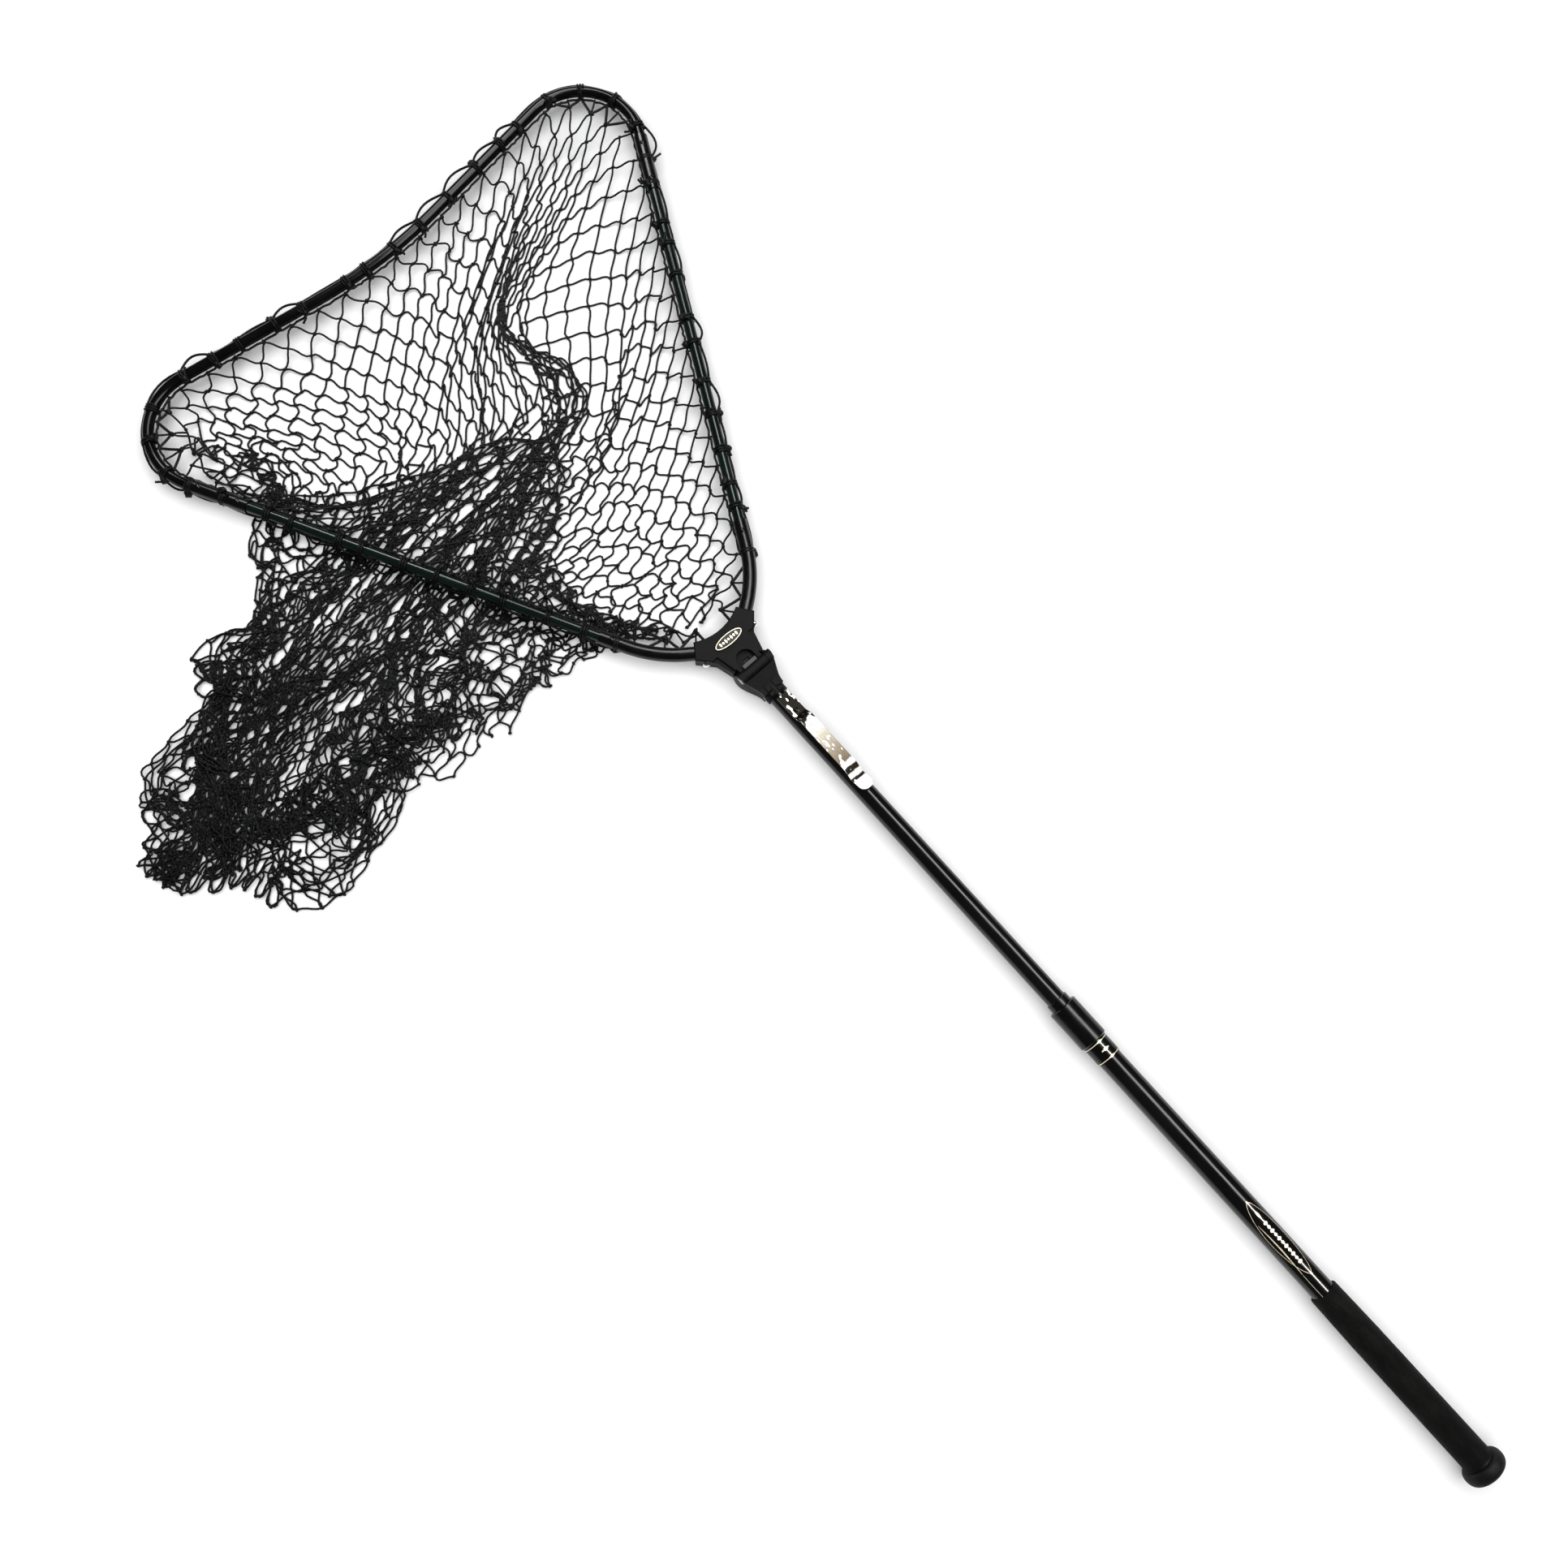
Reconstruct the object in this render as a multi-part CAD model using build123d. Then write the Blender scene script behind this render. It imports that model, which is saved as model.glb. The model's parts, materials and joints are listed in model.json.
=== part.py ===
from build123d import *
import os
from math import cos, radians, sin, tan

# A telescopic landing net with a folding triangular head, lying with its handle level.
# Millimetres. The origin is the centre of the butt cap's end face. +X runs along the
# handle's axis to the head, +Z is up, and +Y is the side to which the bag lies.

# ---- fits
glue_gap = 0.02       # a piece glued or pressed on another
running_gap = 0.05    # a piece that slides or turns in another
latch_gap = 0.1       # the latch in its channel, and other loose fits
body_gap = 0.3        # between pieces of different bodies that only pass each other
past = 5.0            # how far a cutting shape runs past the surface that it opens

# ---- handle tubes
inner_tube_r = 11.0
inner_tube_wall = 1.2
bush_room = 1.0       # between the two tubes, filled by the guide bush
outer_tube_wall = 1.2
outer_bore_r = inner_tube_r + bush_room
outer_tube_r = outer_bore_r + outer_tube_wall
inner_bore_r = inner_tube_r - inner_tube_wall
outer_tube_start = 8.0
outer_tube_end = outer_tube_start + 592.0
inner_tube_start = outer_tube_end - 30.0
guide_bush_length = 14.5
stop_gap = 0.3        # left between the guide bush and the collar bush when drawn out

# ---- butt cap and grip
cap_r = 23.25
cap_face_r = 12.0
cap_crown_x = 9.5
cap_length = 19.0
cap_lip_r = outer_tube_r + 4.0
cap_lip_length = 2.5
grip_length = 217.0
grip_r = outer_tube_r + 3.6
grip_front_r = outer_tube_r + 2.7
grip_taper_length = 60.0
grip_edge = 1.4

# ---- lock collar and the band behind it
collar_r = outer_tube_r + 3.1
collar_start = outer_tube_end - 25.1
collar_length = 48.5
collar_end = collar_start + collar_length
collar_edge = 1.0
band_length = 22.0
band_start = collar_start - 1.4 - band_length
band_wall = 1.0
bush_start = outer_tube_end + stop_gap
bush_flange_length = 9.5
bush_flange_r = outer_tube_r + 0.9
bush_nose_r = inner_tube_r + 1.55
bush_nose_length = 9.3
bush_edge = 1.4

# ---- twist lock in the end of the inner tube
screw_r = 3.0
screw_plug_length = 14.0
screw_flange_length = 4.0
screw_stop_r = 5.0
screw_stop_length = 3.0
lock_sleeve_length = 32.0
lock_sleeve_slit = 2.5
lock_taper_small_r = inner_tube_r - 6.1
lock_taper_large_r = inner_tube_r - 2.6
lock_taper_length = 17.0
cone_length = 18.0
cone_overhang = 5.0   # how far the cone stands out of the sleeve when locked
cone_release = 4.0    # room behind the cone for it to back out

# ---- hinge between the neck and the head
drawn_length = 442.3  # bare inner tube between the collar bush and the neck
neck_start = collar_end + bush_nose_length + drawn_length
neck_r = inner_tube_r + 2.3
neck_length = 12.0
tube_in_neck = 15.0
neck_pin_r = 2.0
hinge_x = neck_start + 37.0
hinge_z = inner_tube_r + 5.0
hinge_pin_r = 3.0
hinge_head_r = 5.0
hinge_head_length = 1.5
knuckle_r = 6.5
ear_boss_r = 7.5
ear_half_span = 23.0  # half the width over both ears
ear_taper = 0.8
tongue_half_width = 15.7
fork_start = neck_start + 7.0
fork_front = hinge_x + 12.0
fork_bottom = 0.8 - neck_r
fork_edge = 4.0
fork_shoulder = (hinge_x - 17.0, neck_r + 3.2)
fork_nose_top = 4.0
ear_nose = (hinge_x + 6.5, hinge_z - 4.0)
web_front = hinge_x - 6.8
web_top = hinge_z + 3.0
rib_sides = (3.0, 7.6)
rib_top = neck_r + 1.2
rib_spans = ((neck_start + 1.5, neck_start + 5.5), (neck_start + 7.5, neck_start + tube_in_neck))

# ---- latch
bolt_half_width = 6.0
bolt_bottom = -4.5
bolt_top = 1.5
bolt_throw = 5.0      # how far the bolt stands in the fork
bolt_length = 46.0
bolt_notch_room = 0.7
latch_travel = 6.0
pad_x = hinge_x + 9.0
pad_length = 6.0
pad_half_width = 9.2
pad_top = 12.0
pad_edge = 0.8
pad_stem_half_width = 4.0
spring_r = 2.4
spring_wire_r = 0.4
spring_length = 11.5
spring_turns = 6

# ---- yoke
yoke_top = 10.0
yoke_bottom = -11.0
yoke_edge = 1.2
yoke_start = hinge_x + 12.5
yoke_waist = (hinge_x + 34.0, 27.5)
yoke_shoulder_y = 21.5
ridge_start = (yoke_start, 17.0)
ridge_end = (hinge_x + 38.0, 22.5)
side_step = 3.5       # how far the yoke's sides lie below its middle
yoke_front_x = hinge_x + 60.0
recess_start = pad_x - pad_length / 2 - 0.8
recess_front = hinge_x + 27.0
recess_half_width = 11.0
recess_floor = 4.0
badge_x = hinge_x + 45.0
badge_half_length = 19.0
badge_half_width = 7.0
badge_height = 1.6
badge_edge = 0.6

# ---- hoop
arm_apex_x = hinge_x - 52.3   # where the lines of both side arms meet the handle's axis
arm_angle = 27.7      # each side arm, from the handle's axis
arm_tube_r = 6.35
hoop_tube_wall = 1.2
elbow_r = arm_tube_r + 1.65
elbow_angle = 54.0    # the elbow's inner end, from the handle's axis
elbow_root = (hinge_x + 48.0, 21.0, 0)
elbow_bend_r = 150.0
elbow_end_x = hinge_x + 143.0
arm_start_x = elbow_end_x - 25.0
sleeve_start_x = hinge_x + 517.0
sleeve_end_x = sleeve_start_x + 64.0
sleeve_r = arm_tube_r + 1.65
sleeve_rivet_inset = 11.0
bow_vertex_x = sleeve_end_x + 71.2
bow_sweep = 8.25      # each half of the front bow, from the crosswise direction
bow_middle_r = 600.0
corner_r = 72.0

# ---- elbow sockets in the yoke
socket_depth = 20.0   # how deep the elbow sits in the yoke
socket_wall = 2.5
socket_cut_length = 32.0
elbow_bolt_s = 8.0    # the yoke bolt's place along the elbow from its inner end
yoke_bolt_r = 2.5
yoke_bolt_head_r = 4.0
yoke_bolt_head_length = 2.5
yoke_bolt_head_seat = elbow_r + 0.8
dome_nut_r = 4.2
dome_nut_flat = 3.0
dome_nut_crown = 2.4
dome_nut_seat = elbow_r + 3.5
bolt_cut_reach = 20.0

# ---- belt clip
clip_width = 17.0
clip_thickness = 1.4
clip_roll = 12.0      # turned about the tube towards -Y
clip_rise = 5.5       # gap between the blade and the tube
clip_base = (neck_start - 33.0, neck_start - 4.0)
clip_blade = (neck_start - 113.0, neck_start - 41.0)
clip_dip_x = neck_start - 125.0
clip_dip_rise = 1.0
clip_tip_x = neck_start - 144.0
clip_tip_rise = 6.0
clip_bend_r = 4.0
clip_tip_r = 7.65
clip_rivet_x = (neck_start - 27.0, neck_start - 12.0)
clip_rivet_head_r = 3.0

# ---- rivets
rivet_shank_r = 1.6
rivet_head_r = 2.8
rivet_head_height = 1.1

# ---- netting and its lashing
floor_z = -cap_r
net_layer = 2.5       # one layer of knotted twine lying flat
heap_top = -13.0      # top of the folded netting
heap_corner_r = 12.0
net_inset = 12.0      # from the hoop tubes' centreline to the netting's edge
net_root_x = hinge_x + 80.0
skirt_wall = 2.5
skirt_top = -9.0
lash_cord_r = 1.2
lash_pitch = 42.0
# The folded netting's edges, measured from the hinge pin: the free side, then the hoop's side.
heap_free_edge = [(136, 104), (159, 301), (138, 442), (171, 538), (267, 633), (330, 590), (393, 412), (557, 237)]
heap_hoop_edge = [(452, 191), (532, -30), (367, -86), (249, 100)]


def ring(start, length, outer_r, inner_r):
    """A tube along the handle's axis."""
    solid = Cylinder(outer_r, length, align=(Align.CENTER, Align.CENTER, Align.MIN))
    if inner_r > 0:
        solid -= Cylinder(inner_r, length, align=(Align.CENTER, Align.CENTER, Align.MIN))
    return Location((start, 0, 0), (0, 90, 0)) * solid


def rod(start, end, radius):
    """A round bar between two points."""
    along = Vector(*end) - Vector(*start)
    plane = Plane(origin=start, z_dir=along)
    return extrude(plane * Circle(radius), along.length)


def turned(edges):
    """The solid that a closed half section makes when it turns about the handle's axis."""
    return revolve(make_face(edges), Axis.X)


def block(x, y, z):
    """A box between two places along each axis."""
    low, high = zip(*(sorted(pair) for pair in (x, y, z)))
    size = [b - a for a, b in zip(low, high)]
    return Pos(*low) * Box(*size, align=(Align.MIN, Align.MIN, Align.MIN))


def mirrored(shape):
    return mirror(shape, about=Plane.XZ)


# ---------------------------------------------------------------- handle, outer section


def butt_cap():
    lip_start = cap_length - cap_lip_length
    outline = [
        Line((0, 0), (0, cap_face_r)),
        Spline((0, cap_face_r), (cap_crown_x, cap_r), tangents=((0, 1), (1, 0))),
        Spline((cap_crown_x, cap_r), (lip_start, cap_lip_r), tangents=((1, 0), (0, -1))),
        Line((lip_start, cap_lip_r), (cap_length, cap_lip_r)),
        Line((cap_length, cap_lip_r), (cap_length, 0)),
        Line((cap_length, 0), (0, 0)),
    ]
    socket = ring(outer_tube_start, cap_length, outer_tube_r + glue_gap, 0)
    return turned(outline) - socket


def grip():
    inner = outer_tube_r + glue_gap
    grip_end = cap_length + grip_length
    taper_start = grip_end - grip_taper_length
    outline = [
        Line((cap_length, inner), (cap_length, grip_r)),
        Line((cap_length, grip_r), (taper_start, grip_r)),
        Line((taper_start, grip_r), (grip_end - grip_edge, grip_front_r)),
        RadiusArc((grip_end - grip_edge, grip_front_r), (grip_end, grip_front_r - grip_edge), grip_edge),
        Line((grip_end, grip_front_r - grip_edge), (grip_end, inner)),
        Line((grip_end, inner), (cap_length, inner)),
    ]
    return turned(outline)


def outer_tube():
    return ring(outer_tube_start, outer_tube_end - outer_tube_start, outer_tube_r, outer_bore_r)


def decor_band():
    inner = outer_tube_r + glue_gap
    return ring(band_start, band_length, inner + band_wall, inner)


def lock_collar():
    body = ring(collar_start, collar_length, collar_r, 0)
    body = chamfer(body.edges().filter_by(GeomType.CIRCLE), collar_edge)
    flange_end = bush_start + bush_flange_length + glue_gap
    body -= ring(collar_start, outer_tube_end - collar_start, outer_tube_r + glue_gap, 0)
    body -= ring(outer_tube_end, flange_end - outer_tube_end, bush_flange_r + glue_gap, 0)
    return body - ring(flange_end, collar_end - flange_end, bush_nose_r + glue_gap, 0)


def collar_bush():
    nose_end = collar_end + bush_nose_length
    nose = ring(bush_start, nose_end - bush_start, bush_nose_r, 0)
    nose = fillet(nose.edges().filter_by(GeomType.CIRCLE).sort_by(Axis.X)[-1], bush_edge)
    body = nose + ring(bush_start, bush_flange_length, bush_flange_r, 0)
    return body - ring(bush_start, nose_end - bush_start, inner_tube_r + running_gap, 0)


# ---------------------------------------------------------------- handle, inner section
inner_tube_end = neck_start + tube_in_neck
neck_pin_x = neck_start + tube_in_neck / 2


def inner_tube():
    tube = ring(inner_tube_start, inner_tube_end - inner_tube_start, inner_tube_r, inner_bore_r)
    for x in clip_rivet_x:
        tube -= clip_turn(rod((x, 0, 0), (x, 0, inner_tube_r + past), rivet_shank_r + glue_gap))
    return tube - rod((neck_pin_x, -neck_r, 0), (neck_pin_x, neck_r, 0), neck_pin_r + glue_gap)


def guide_bush():
    start = outer_tube_end - guide_bush_length
    return ring(start, guide_bush_length, outer_bore_r - running_gap, inner_tube_r + glue_gap)


screw_flange_start = inner_tube_start - screw_flange_length
lock_sleeve_end = screw_flange_start - latch_gap
lock_sleeve_start = lock_sleeve_end - lock_sleeve_length
taper_slope = (lock_taper_large_r - lock_taper_small_r) / lock_taper_length
cone_start = lock_sleeve_start - cone_overhang
screw_stop_end = cone_start - cone_release


def expander_screw():
    body = ring(inner_tube_start, screw_plug_length, inner_bore_r - glue_gap, 0)
    body += ring(screw_flange_start, screw_flange_length, inner_tube_r, 0)
    body += ring(screw_stop_end, screw_flange_start - screw_stop_end, screw_r, 0)
    return body + ring(screw_stop_end - screw_stop_length, screw_stop_length, screw_stop_r, 0)


def expander_sleeve():
    body = ring(lock_sleeve_start, lock_sleeve_length, outer_bore_r - running_gap, lock_taper_small_r)
    taper = Cone(lock_taper_large_r, lock_taper_small_r, lock_taper_length,
                 align=(Align.CENTER, Align.CENTER, Align.MIN))
    body -= Location((lock_sleeve_start, 0, 0), (0, 90, 0)) * taper
    slit = block((lock_sleeve_start - past, lock_sleeve_end + past),
                 (-lock_sleeve_slit / 2, lock_sleeve_slit / 2), (0, outer_bore_r + past))
    return body - slit


def expander_cone():
    large_r = lock_taper_large_r + cone_overhang * taper_slope - running_gap
    small_r = large_r - cone_length * taper_slope
    cone = Cone(large_r, small_r, cone_length, align=(Align.CENTER, Align.CENTER, Align.MIN))
    cone = Location((cone_start, 0, 0), (0, 90, 0)) * cone
    return cone - ring(cone_start, cone_length, screw_r + running_gap, 0)


# ---------------------------------------------------------------- hinge fork and its pins
hinge_head_y = ear_half_span - hinge_head_length
bolt_sides = (-bolt_half_width - latch_gap, bolt_half_width + latch_gap)
bolt_levels = (bolt_bottom - latch_gap, bolt_top + latch_gap)


def fork_outline():
    """The fork seen from above."""
    ear_front = (fork_front, ear_half_span - ear_taper)
    half = make_face([
        Line((fork_start, 0), (fork_start, neck_r)),
        Spline((fork_start, neck_r), fork_shoulder, (hinge_x, ear_half_span), ear_front,
               tangents=((1, 0), (1, -0.35))),
        Line(ear_front, (fork_front, 0)),
        Line((fork_front, 0), (fork_start, 0)),
    ])
    return half + mirror(half, about=Plane.XZ)


def fork_side():
    """The fork seen from the side: the neck, the sloping web and the ears' round boss."""
    slope_start = (neck_start + tube_in_neck, -fork_bottom)
    body = make_face(Polyline(
        (fork_start, fork_bottom), (fork_front - fork_edge, fork_bottom),
        (fork_front, fork_bottom + fork_edge), (fork_front, fork_nose_top), ear_nose, (hinge_x, hinge_z),
        (web_front, web_top), slope_start, (fork_start, -fork_bottom), close=True))
    return Plane.XZ * (body + Pos(hinge_x, hinge_z) * Circle(ear_boss_r))


def cross_pin(x, z, half_length, radius):
    return rod((x, -half_length, z), (x, half_length, z), radius)


def hinge_fork():
    ear_gap = tongue_half_width + running_gap
    outer_y = ear_half_span + past
    body = extrude(Pos(0, 0, fork_bottom) * fork_outline(), hinge_z + ear_boss_r - fork_bottom)
    body &= extrude(fork_side(), outer_y, both=True)
    body -= block((web_front, fork_front + past), (-ear_gap, ear_gap),
                  (fork_bottom - past, hinge_z + ear_boss_r + past))
    body += ring(neck_start, neck_length, neck_r, 0)
    for span in rib_spans:
        rib = block(span, rib_sides, (inner_tube_r, rib_top))
        body += rib + mirrored(rib)
    body -= ring(neck_start, tube_in_neck, inner_tube_r + glue_gap, 0)
    body -= block((web_front - bolt_throw - bolt_notch_room, web_front), bolt_sides, bolt_levels)
    body -= cross_pin(hinge_x, hinge_z, outer_y, hinge_pin_r + glue_gap)
    for side in (-1, 1):
        body -= rod((hinge_x, side * hinge_head_y, hinge_z), (hinge_x, side * outer_y, hinge_z),
                    hinge_head_r + glue_gap)
    return body - cross_pin(neck_pin_x, 0, neck_r + past, neck_pin_r + glue_gap)


def neck_pin():
    return cross_pin(neck_pin_x, 0, neck_r, neck_pin_r)


def hinge_pin():
    pin = cross_pin(hinge_x, hinge_z, hinge_head_y, hinge_pin_r)
    for side in (-1, 1):
        pin += rod((hinge_x, side * hinge_head_y, hinge_z),
                   (hinge_x, side * (hinge_head_y + hinge_head_length), hinge_z), hinge_head_r)
    return pin


# ---------------------------------------------------------------- belt clip
def clip_turn(shape):
    """From above the tube to the side that the clip is turned to."""
    return Rot(clip_roll, 0, 0) * shape


def belt_clip():
    low = inner_tube_r + glue_gap
    line = FilletPolyline(
        (clip_base[1], low), (clip_base[0], low), (clip_blade[1], low + clip_rise),
        (clip_blade[0], low + clip_rise), (clip_dip_x, low + clip_dip_rise), (clip_tip_x, low + clip_tip_rise),
        radius=clip_bend_r)
    body = extrude(Plane.XZ * make_face(trace_strip(line)), clip_width / 2, both=True)
    plan = Pos((clip_base[1] + clip_tip_x) / 2, 0) * Rectangle(clip_base[1] - clip_tip_x, clip_width)
    plan = fillet(plan.vertices().sort_by(Axis.X)[:2], clip_tip_r)
    body &= extrude(plan, low + clip_tip_rise + past)
    for x in clip_rivet_x:
        body -= rod((x, 0, low - past), (x, 0, low + past), rivet_shank_r + glue_gap)
    return clip_turn(body)


def trace_strip(line):
    """The outline of the clip's strip, from its lower line to a parallel one above."""
    upper = line.offset_2d(clip_thickness, kind=Kind.ARC, side=Side.LEFT, closed=False)
    if upper.center().Y < line.center().Y:
        upper = line.offset_2d(clip_thickness, kind=Kind.ARC, side=Side.RIGHT, closed=False)
    ends = sorted([upper @ 0, upper @ 1], key=lambda p: p.X)
    return [*line.edges(), *upper.edges(), Line(line @ 1, ends[0]), Line(line @ 0, ends[1])]


def domed_rivet(base, axis, shank_length, shank_r, head_r, head_height):
    """A rivet with its head's flat side at base, its dome along the axis and its shank the other way."""
    axis = Vector(*axis).normalized()
    plane = Plane(origin=base, z_dir=axis)
    dome_r = (head_r ** 2 + head_height ** 2) / (2 * head_height)
    dome = Pos(0, 0, head_height - dome_r) * Sphere(dome_r)
    dome &= Cylinder(head_r, head_height, align=(Align.CENTER, Align.CENTER, Align.MIN))
    dome += Pos(0, 0, -shank_length) * Cylinder(
        shank_r, shank_length, align=(Align.CENTER, Align.CENTER, Align.MIN))
    return plane.location * dome


def clip_rivets():
    base_z = inner_tube_r + glue_gap + clip_thickness
    shank = clip_thickness + inner_tube_wall
    return [clip_turn(domed_rivet((x, 0, base_z), (0, 0, 1), shank, rivet_shank_r, clip_rivet_head_r,
                                  rivet_head_height)) for x in clip_rivet_x]


# ---------------------------------------------------------------- lines of the hoop
def arm_point(x, z=0.0):
    """A point on the left arm's centreline."""
    return (x, (x - arm_apex_x) * tan(radians(arm_angle)), z)


def crossing(start, angle, other, other_angle):
    """Where two lines meet, each given by a point and its angle from +X."""
    a, b = radians(angle), radians(other_angle)
    dx, dy = other[0] - start[0], other[1] - start[1]
    along = (dx * sin(b) - dy * cos(b)) / sin(b - a)
    return (start[0] + along * cos(a), start[1] + along * sin(a), 0)


def other_side(point):
    return (point[0], -point[1], point[2])


elbow_corner = crossing(elbow_root, elbow_angle, (arm_apex_x, 0), arm_angle)
front_corner = crossing((arm_apex_x, 0), arm_angle, (bow_vertex_x, 0), 90 - bow_sweep)
bow_vertex = (bow_vertex_x, 0, 0)
sleeve_middle_x = (sleeve_start_x + sleeve_end_x) / 2
elbow_line = FilletPolyline(elbow_root, elbow_corner, arm_point(elbow_end_x), radius=elbow_bend_r)
bow_line = FilletPolyline(
    arm_point(sleeve_middle_x), front_corner, bow_vertex, other_side(front_corner),
    other_side(arm_point(sleeve_middle_x)), radius=[corner_r, bow_middle_r, corner_r])


def bent_tube(line, outer_r, inner_r):
    start = Plane(origin=line @ 0, z_dir=line % 0)
    return sweep(start * Circle(outer_r), line) - sweep(start * Circle(inner_r), line)


def straight_tube(start, end, outer_r, inner_r):
    return rod(start, end, outer_r) - rod(start, end, inner_r)


# ---------------------------------------------------------------- hoop, left side
arm_bore_r = arm_tube_r - hoop_tube_wall
seat_r = arm_tube_r + glue_gap
elbow_rivet_x = (arm_start_x + elbow_end_x) / 2
sleeve_rivet_xs = (sleeve_start_x + sleeve_rivet_inset, sleeve_end_x - sleeve_rivet_inset)
elbow_along = Vector(cos(radians(elbow_angle)), sin(radians(elbow_angle)), 0)
elbow_out = Vector(-elbow_along.Y, elbow_along.X, 0)
bolt_centre = Vector(*elbow_root) + elbow_along * elbow_bolt_s


def rivet_hole(x):
    return rod(arm_point(x), arm_point(x, elbow_r + past), rivet_shank_r + glue_gap)


def elbow():
    reach = elbow_out * (elbow_r + past)
    hole = rod(bolt_centre - reach, bolt_centre + reach, yoke_bolt_r + glue_gap)
    return bent_tube(elbow_line, elbow_r, seat_r) - hole - rivet_hole(elbow_rivet_x)


def arm_tube():
    end = arm_point(sleeve_middle_x - glue_gap)
    tube = straight_tube(arm_point(arm_start_x), end, arm_tube_r, arm_bore_r)
    return tube - rivet_hole(elbow_rivet_x) - rivet_hole(sleeve_rivet_xs[0])


def sleeve():
    tube = straight_tube(arm_point(sleeve_start_x), arm_point(sleeve_end_x), sleeve_r, seat_r)
    return tube - rivet_hole(sleeve_rivet_xs[0]) - rivet_hole(sleeve_rivet_xs[1])


def front_bow():
    tube = bent_tube(bow_line, arm_tube_r, arm_bore_r)
    hole = rivet_hole(sleeve_rivet_xs[1])
    return tube - hole - mirrored(hole)


def tube_rivet(x):
    return domed_rivet(arm_point(x, elbow_r), (0, 0, 1), elbow_r - arm_bore_r, rivet_shank_r, rivet_head_r,
                       rivet_head_height)


def elbow_rivets():
    rivet = tube_rivet(elbow_rivet_x)
    return [rivet, mirrored(rivet)]


def sleeve_rivets():
    rivets = [tube_rivet(x) for x in sleeve_rivet_xs]
    return rivets + [mirrored(rivet) for rivet in rivets]


# ---------------------------------------------------------------- yoke
channel_end = web_front - bolt_throw + bolt_length + spring_length


def yoke_plan():
    socket_end = Vector(*elbow_root) + elbow_along * socket_depth
    side = elbow_out * (elbow_r + socket_wall)
    outer, inner = socket_end + side, socket_end - side
    left = [(inner.X, inner.Y), (outer.X, outer.Y), yoke_waist, (yoke_start, yoke_shoulder_y)]
    right = [(x, -y) for x, y in reversed(left)]
    return make_face([Polyline(*left, *right), ThreePointArc(right[-1], (yoke_front_x, 0), left[0])])


def yoke():
    body = extrude(Pos(0, 0, yoke_bottom) * yoke_plan(), yoke_top - yoke_bottom)
    body = chamfer(body.edges().filter_by(Plane.XY), yoke_edge)
    step = make_face(Polyline(
        ridge_start, ridge_end, (ridge_end[0], yoke_waist[1] + past), (yoke_start, yoke_waist[1] + past),
        close=True))
    step = extrude(Pos(0, 0, yoke_top - side_step) * step, side_step)
    body -= step + mirrored(step)
    tongue_start = web_front + body_gap
    sides = (-tongue_half_width, tongue_half_width)
    body += block((tongue_start, yoke_start + past), sides, (yoke_bottom, yoke_top))
    body += block((tongue_start, recess_start), sides, (yoke_bottom, hinge_z))
    body += cross_pin(hinge_x, hinge_z, tongue_half_width, knuckle_r)
    body -= cross_pin(hinge_x, hinge_z, tongue_half_width + past, hinge_pin_r + running_gap)
    body -= block((tongue_start - past, channel_end), bolt_sides, bolt_levels)
    recess_centre = recess_front - recess_half_width
    body -= block((recess_start, recess_centre), (-recess_half_width, recess_half_width),
                  (recess_floor, hinge_z))
    body -= rod((recess_centre, 0, recess_floor), (recess_centre, 0, hinge_z), recess_half_width)
    stem = pad_stem_half_width + latch_gap
    stem_end = pad_x + pad_length / 2 + latch_travel + latch_gap
    body -= block((recess_start, stem_end), (-stem, stem), (bolt_top, recess_floor))
    socket_start = Vector(*elbow_root)
    socket_cut = rod(socket_start, socket_start + elbow_along * socket_cut_length, elbow_r + glue_gap)
    for cut in (socket_cut, bolt_cut()):
        body -= cut + mirrored(cut)
    return body


def bolt_cut():
    reach = elbow_out * bolt_cut_reach
    shank = rod(bolt_centre - reach, bolt_centre + reach, yoke_bolt_r + glue_gap)
    nut = rod(bolt_centre + elbow_out * dome_nut_seat, bolt_centre + reach, dome_nut_r + latch_gap)
    head = rod(bolt_centre - elbow_out * yoke_bolt_head_seat, bolt_centre - reach,
               yoke_bolt_head_r + latch_gap)
    return shank + nut + head


def yoke_bolts():
    head_seat = bolt_centre - elbow_out * yoke_bolt_head_seat
    bolt = rod(head_seat, bolt_centre + elbow_out * (dome_nut_seat + dome_nut_flat), yoke_bolt_r)
    bolt += rod(head_seat, head_seat - elbow_out * yoke_bolt_head_length, yoke_bolt_head_r)
    return [bolt, mirrored(bolt)]


def dome_nuts():
    seat = bolt_centre + elbow_out * dome_nut_seat
    shoulder = seat + elbow_out * dome_nut_flat
    nut = domed_rivet(shoulder, elbow_out, dome_nut_flat, dome_nut_r, dome_nut_r, dome_nut_crown)
    nut -= rod(seat, shoulder, yoke_bolt_r + glue_gap)
    return [nut, mirrored(nut)]


def yoke_badge():
    outline = Pos(badge_x, 0, yoke_top) * Ellipse(badge_half_width, badge_half_length)
    plate = extrude(outline, badge_height)
    return fillet(plate.edges().sort_by(Axis.Z)[-1], badge_edge)


# ---------------------------------------------------------------- latch
def latch_bolt():
    start = web_front - bolt_throw
    half = bolt_half_width
    return block((start, start + bolt_length), (-half, half), (bolt_bottom, bolt_top))


def thumb_pad():
    half_x = pad_length / 2
    pad = block((pad_x - half_x, pad_x + half_x), (-pad_half_width, pad_half_width),
                (recess_floor + body_gap, pad_top))
    pad = fillet(pad.edges().group_by(Axis.Z)[-1], pad_edge)
    stem = block((pad_x - half_x, pad_x + half_x), (-pad_stem_half_width, pad_stem_half_width),
                 (bolt_top, recess_floor + body_gap))
    return pad + stem


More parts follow.
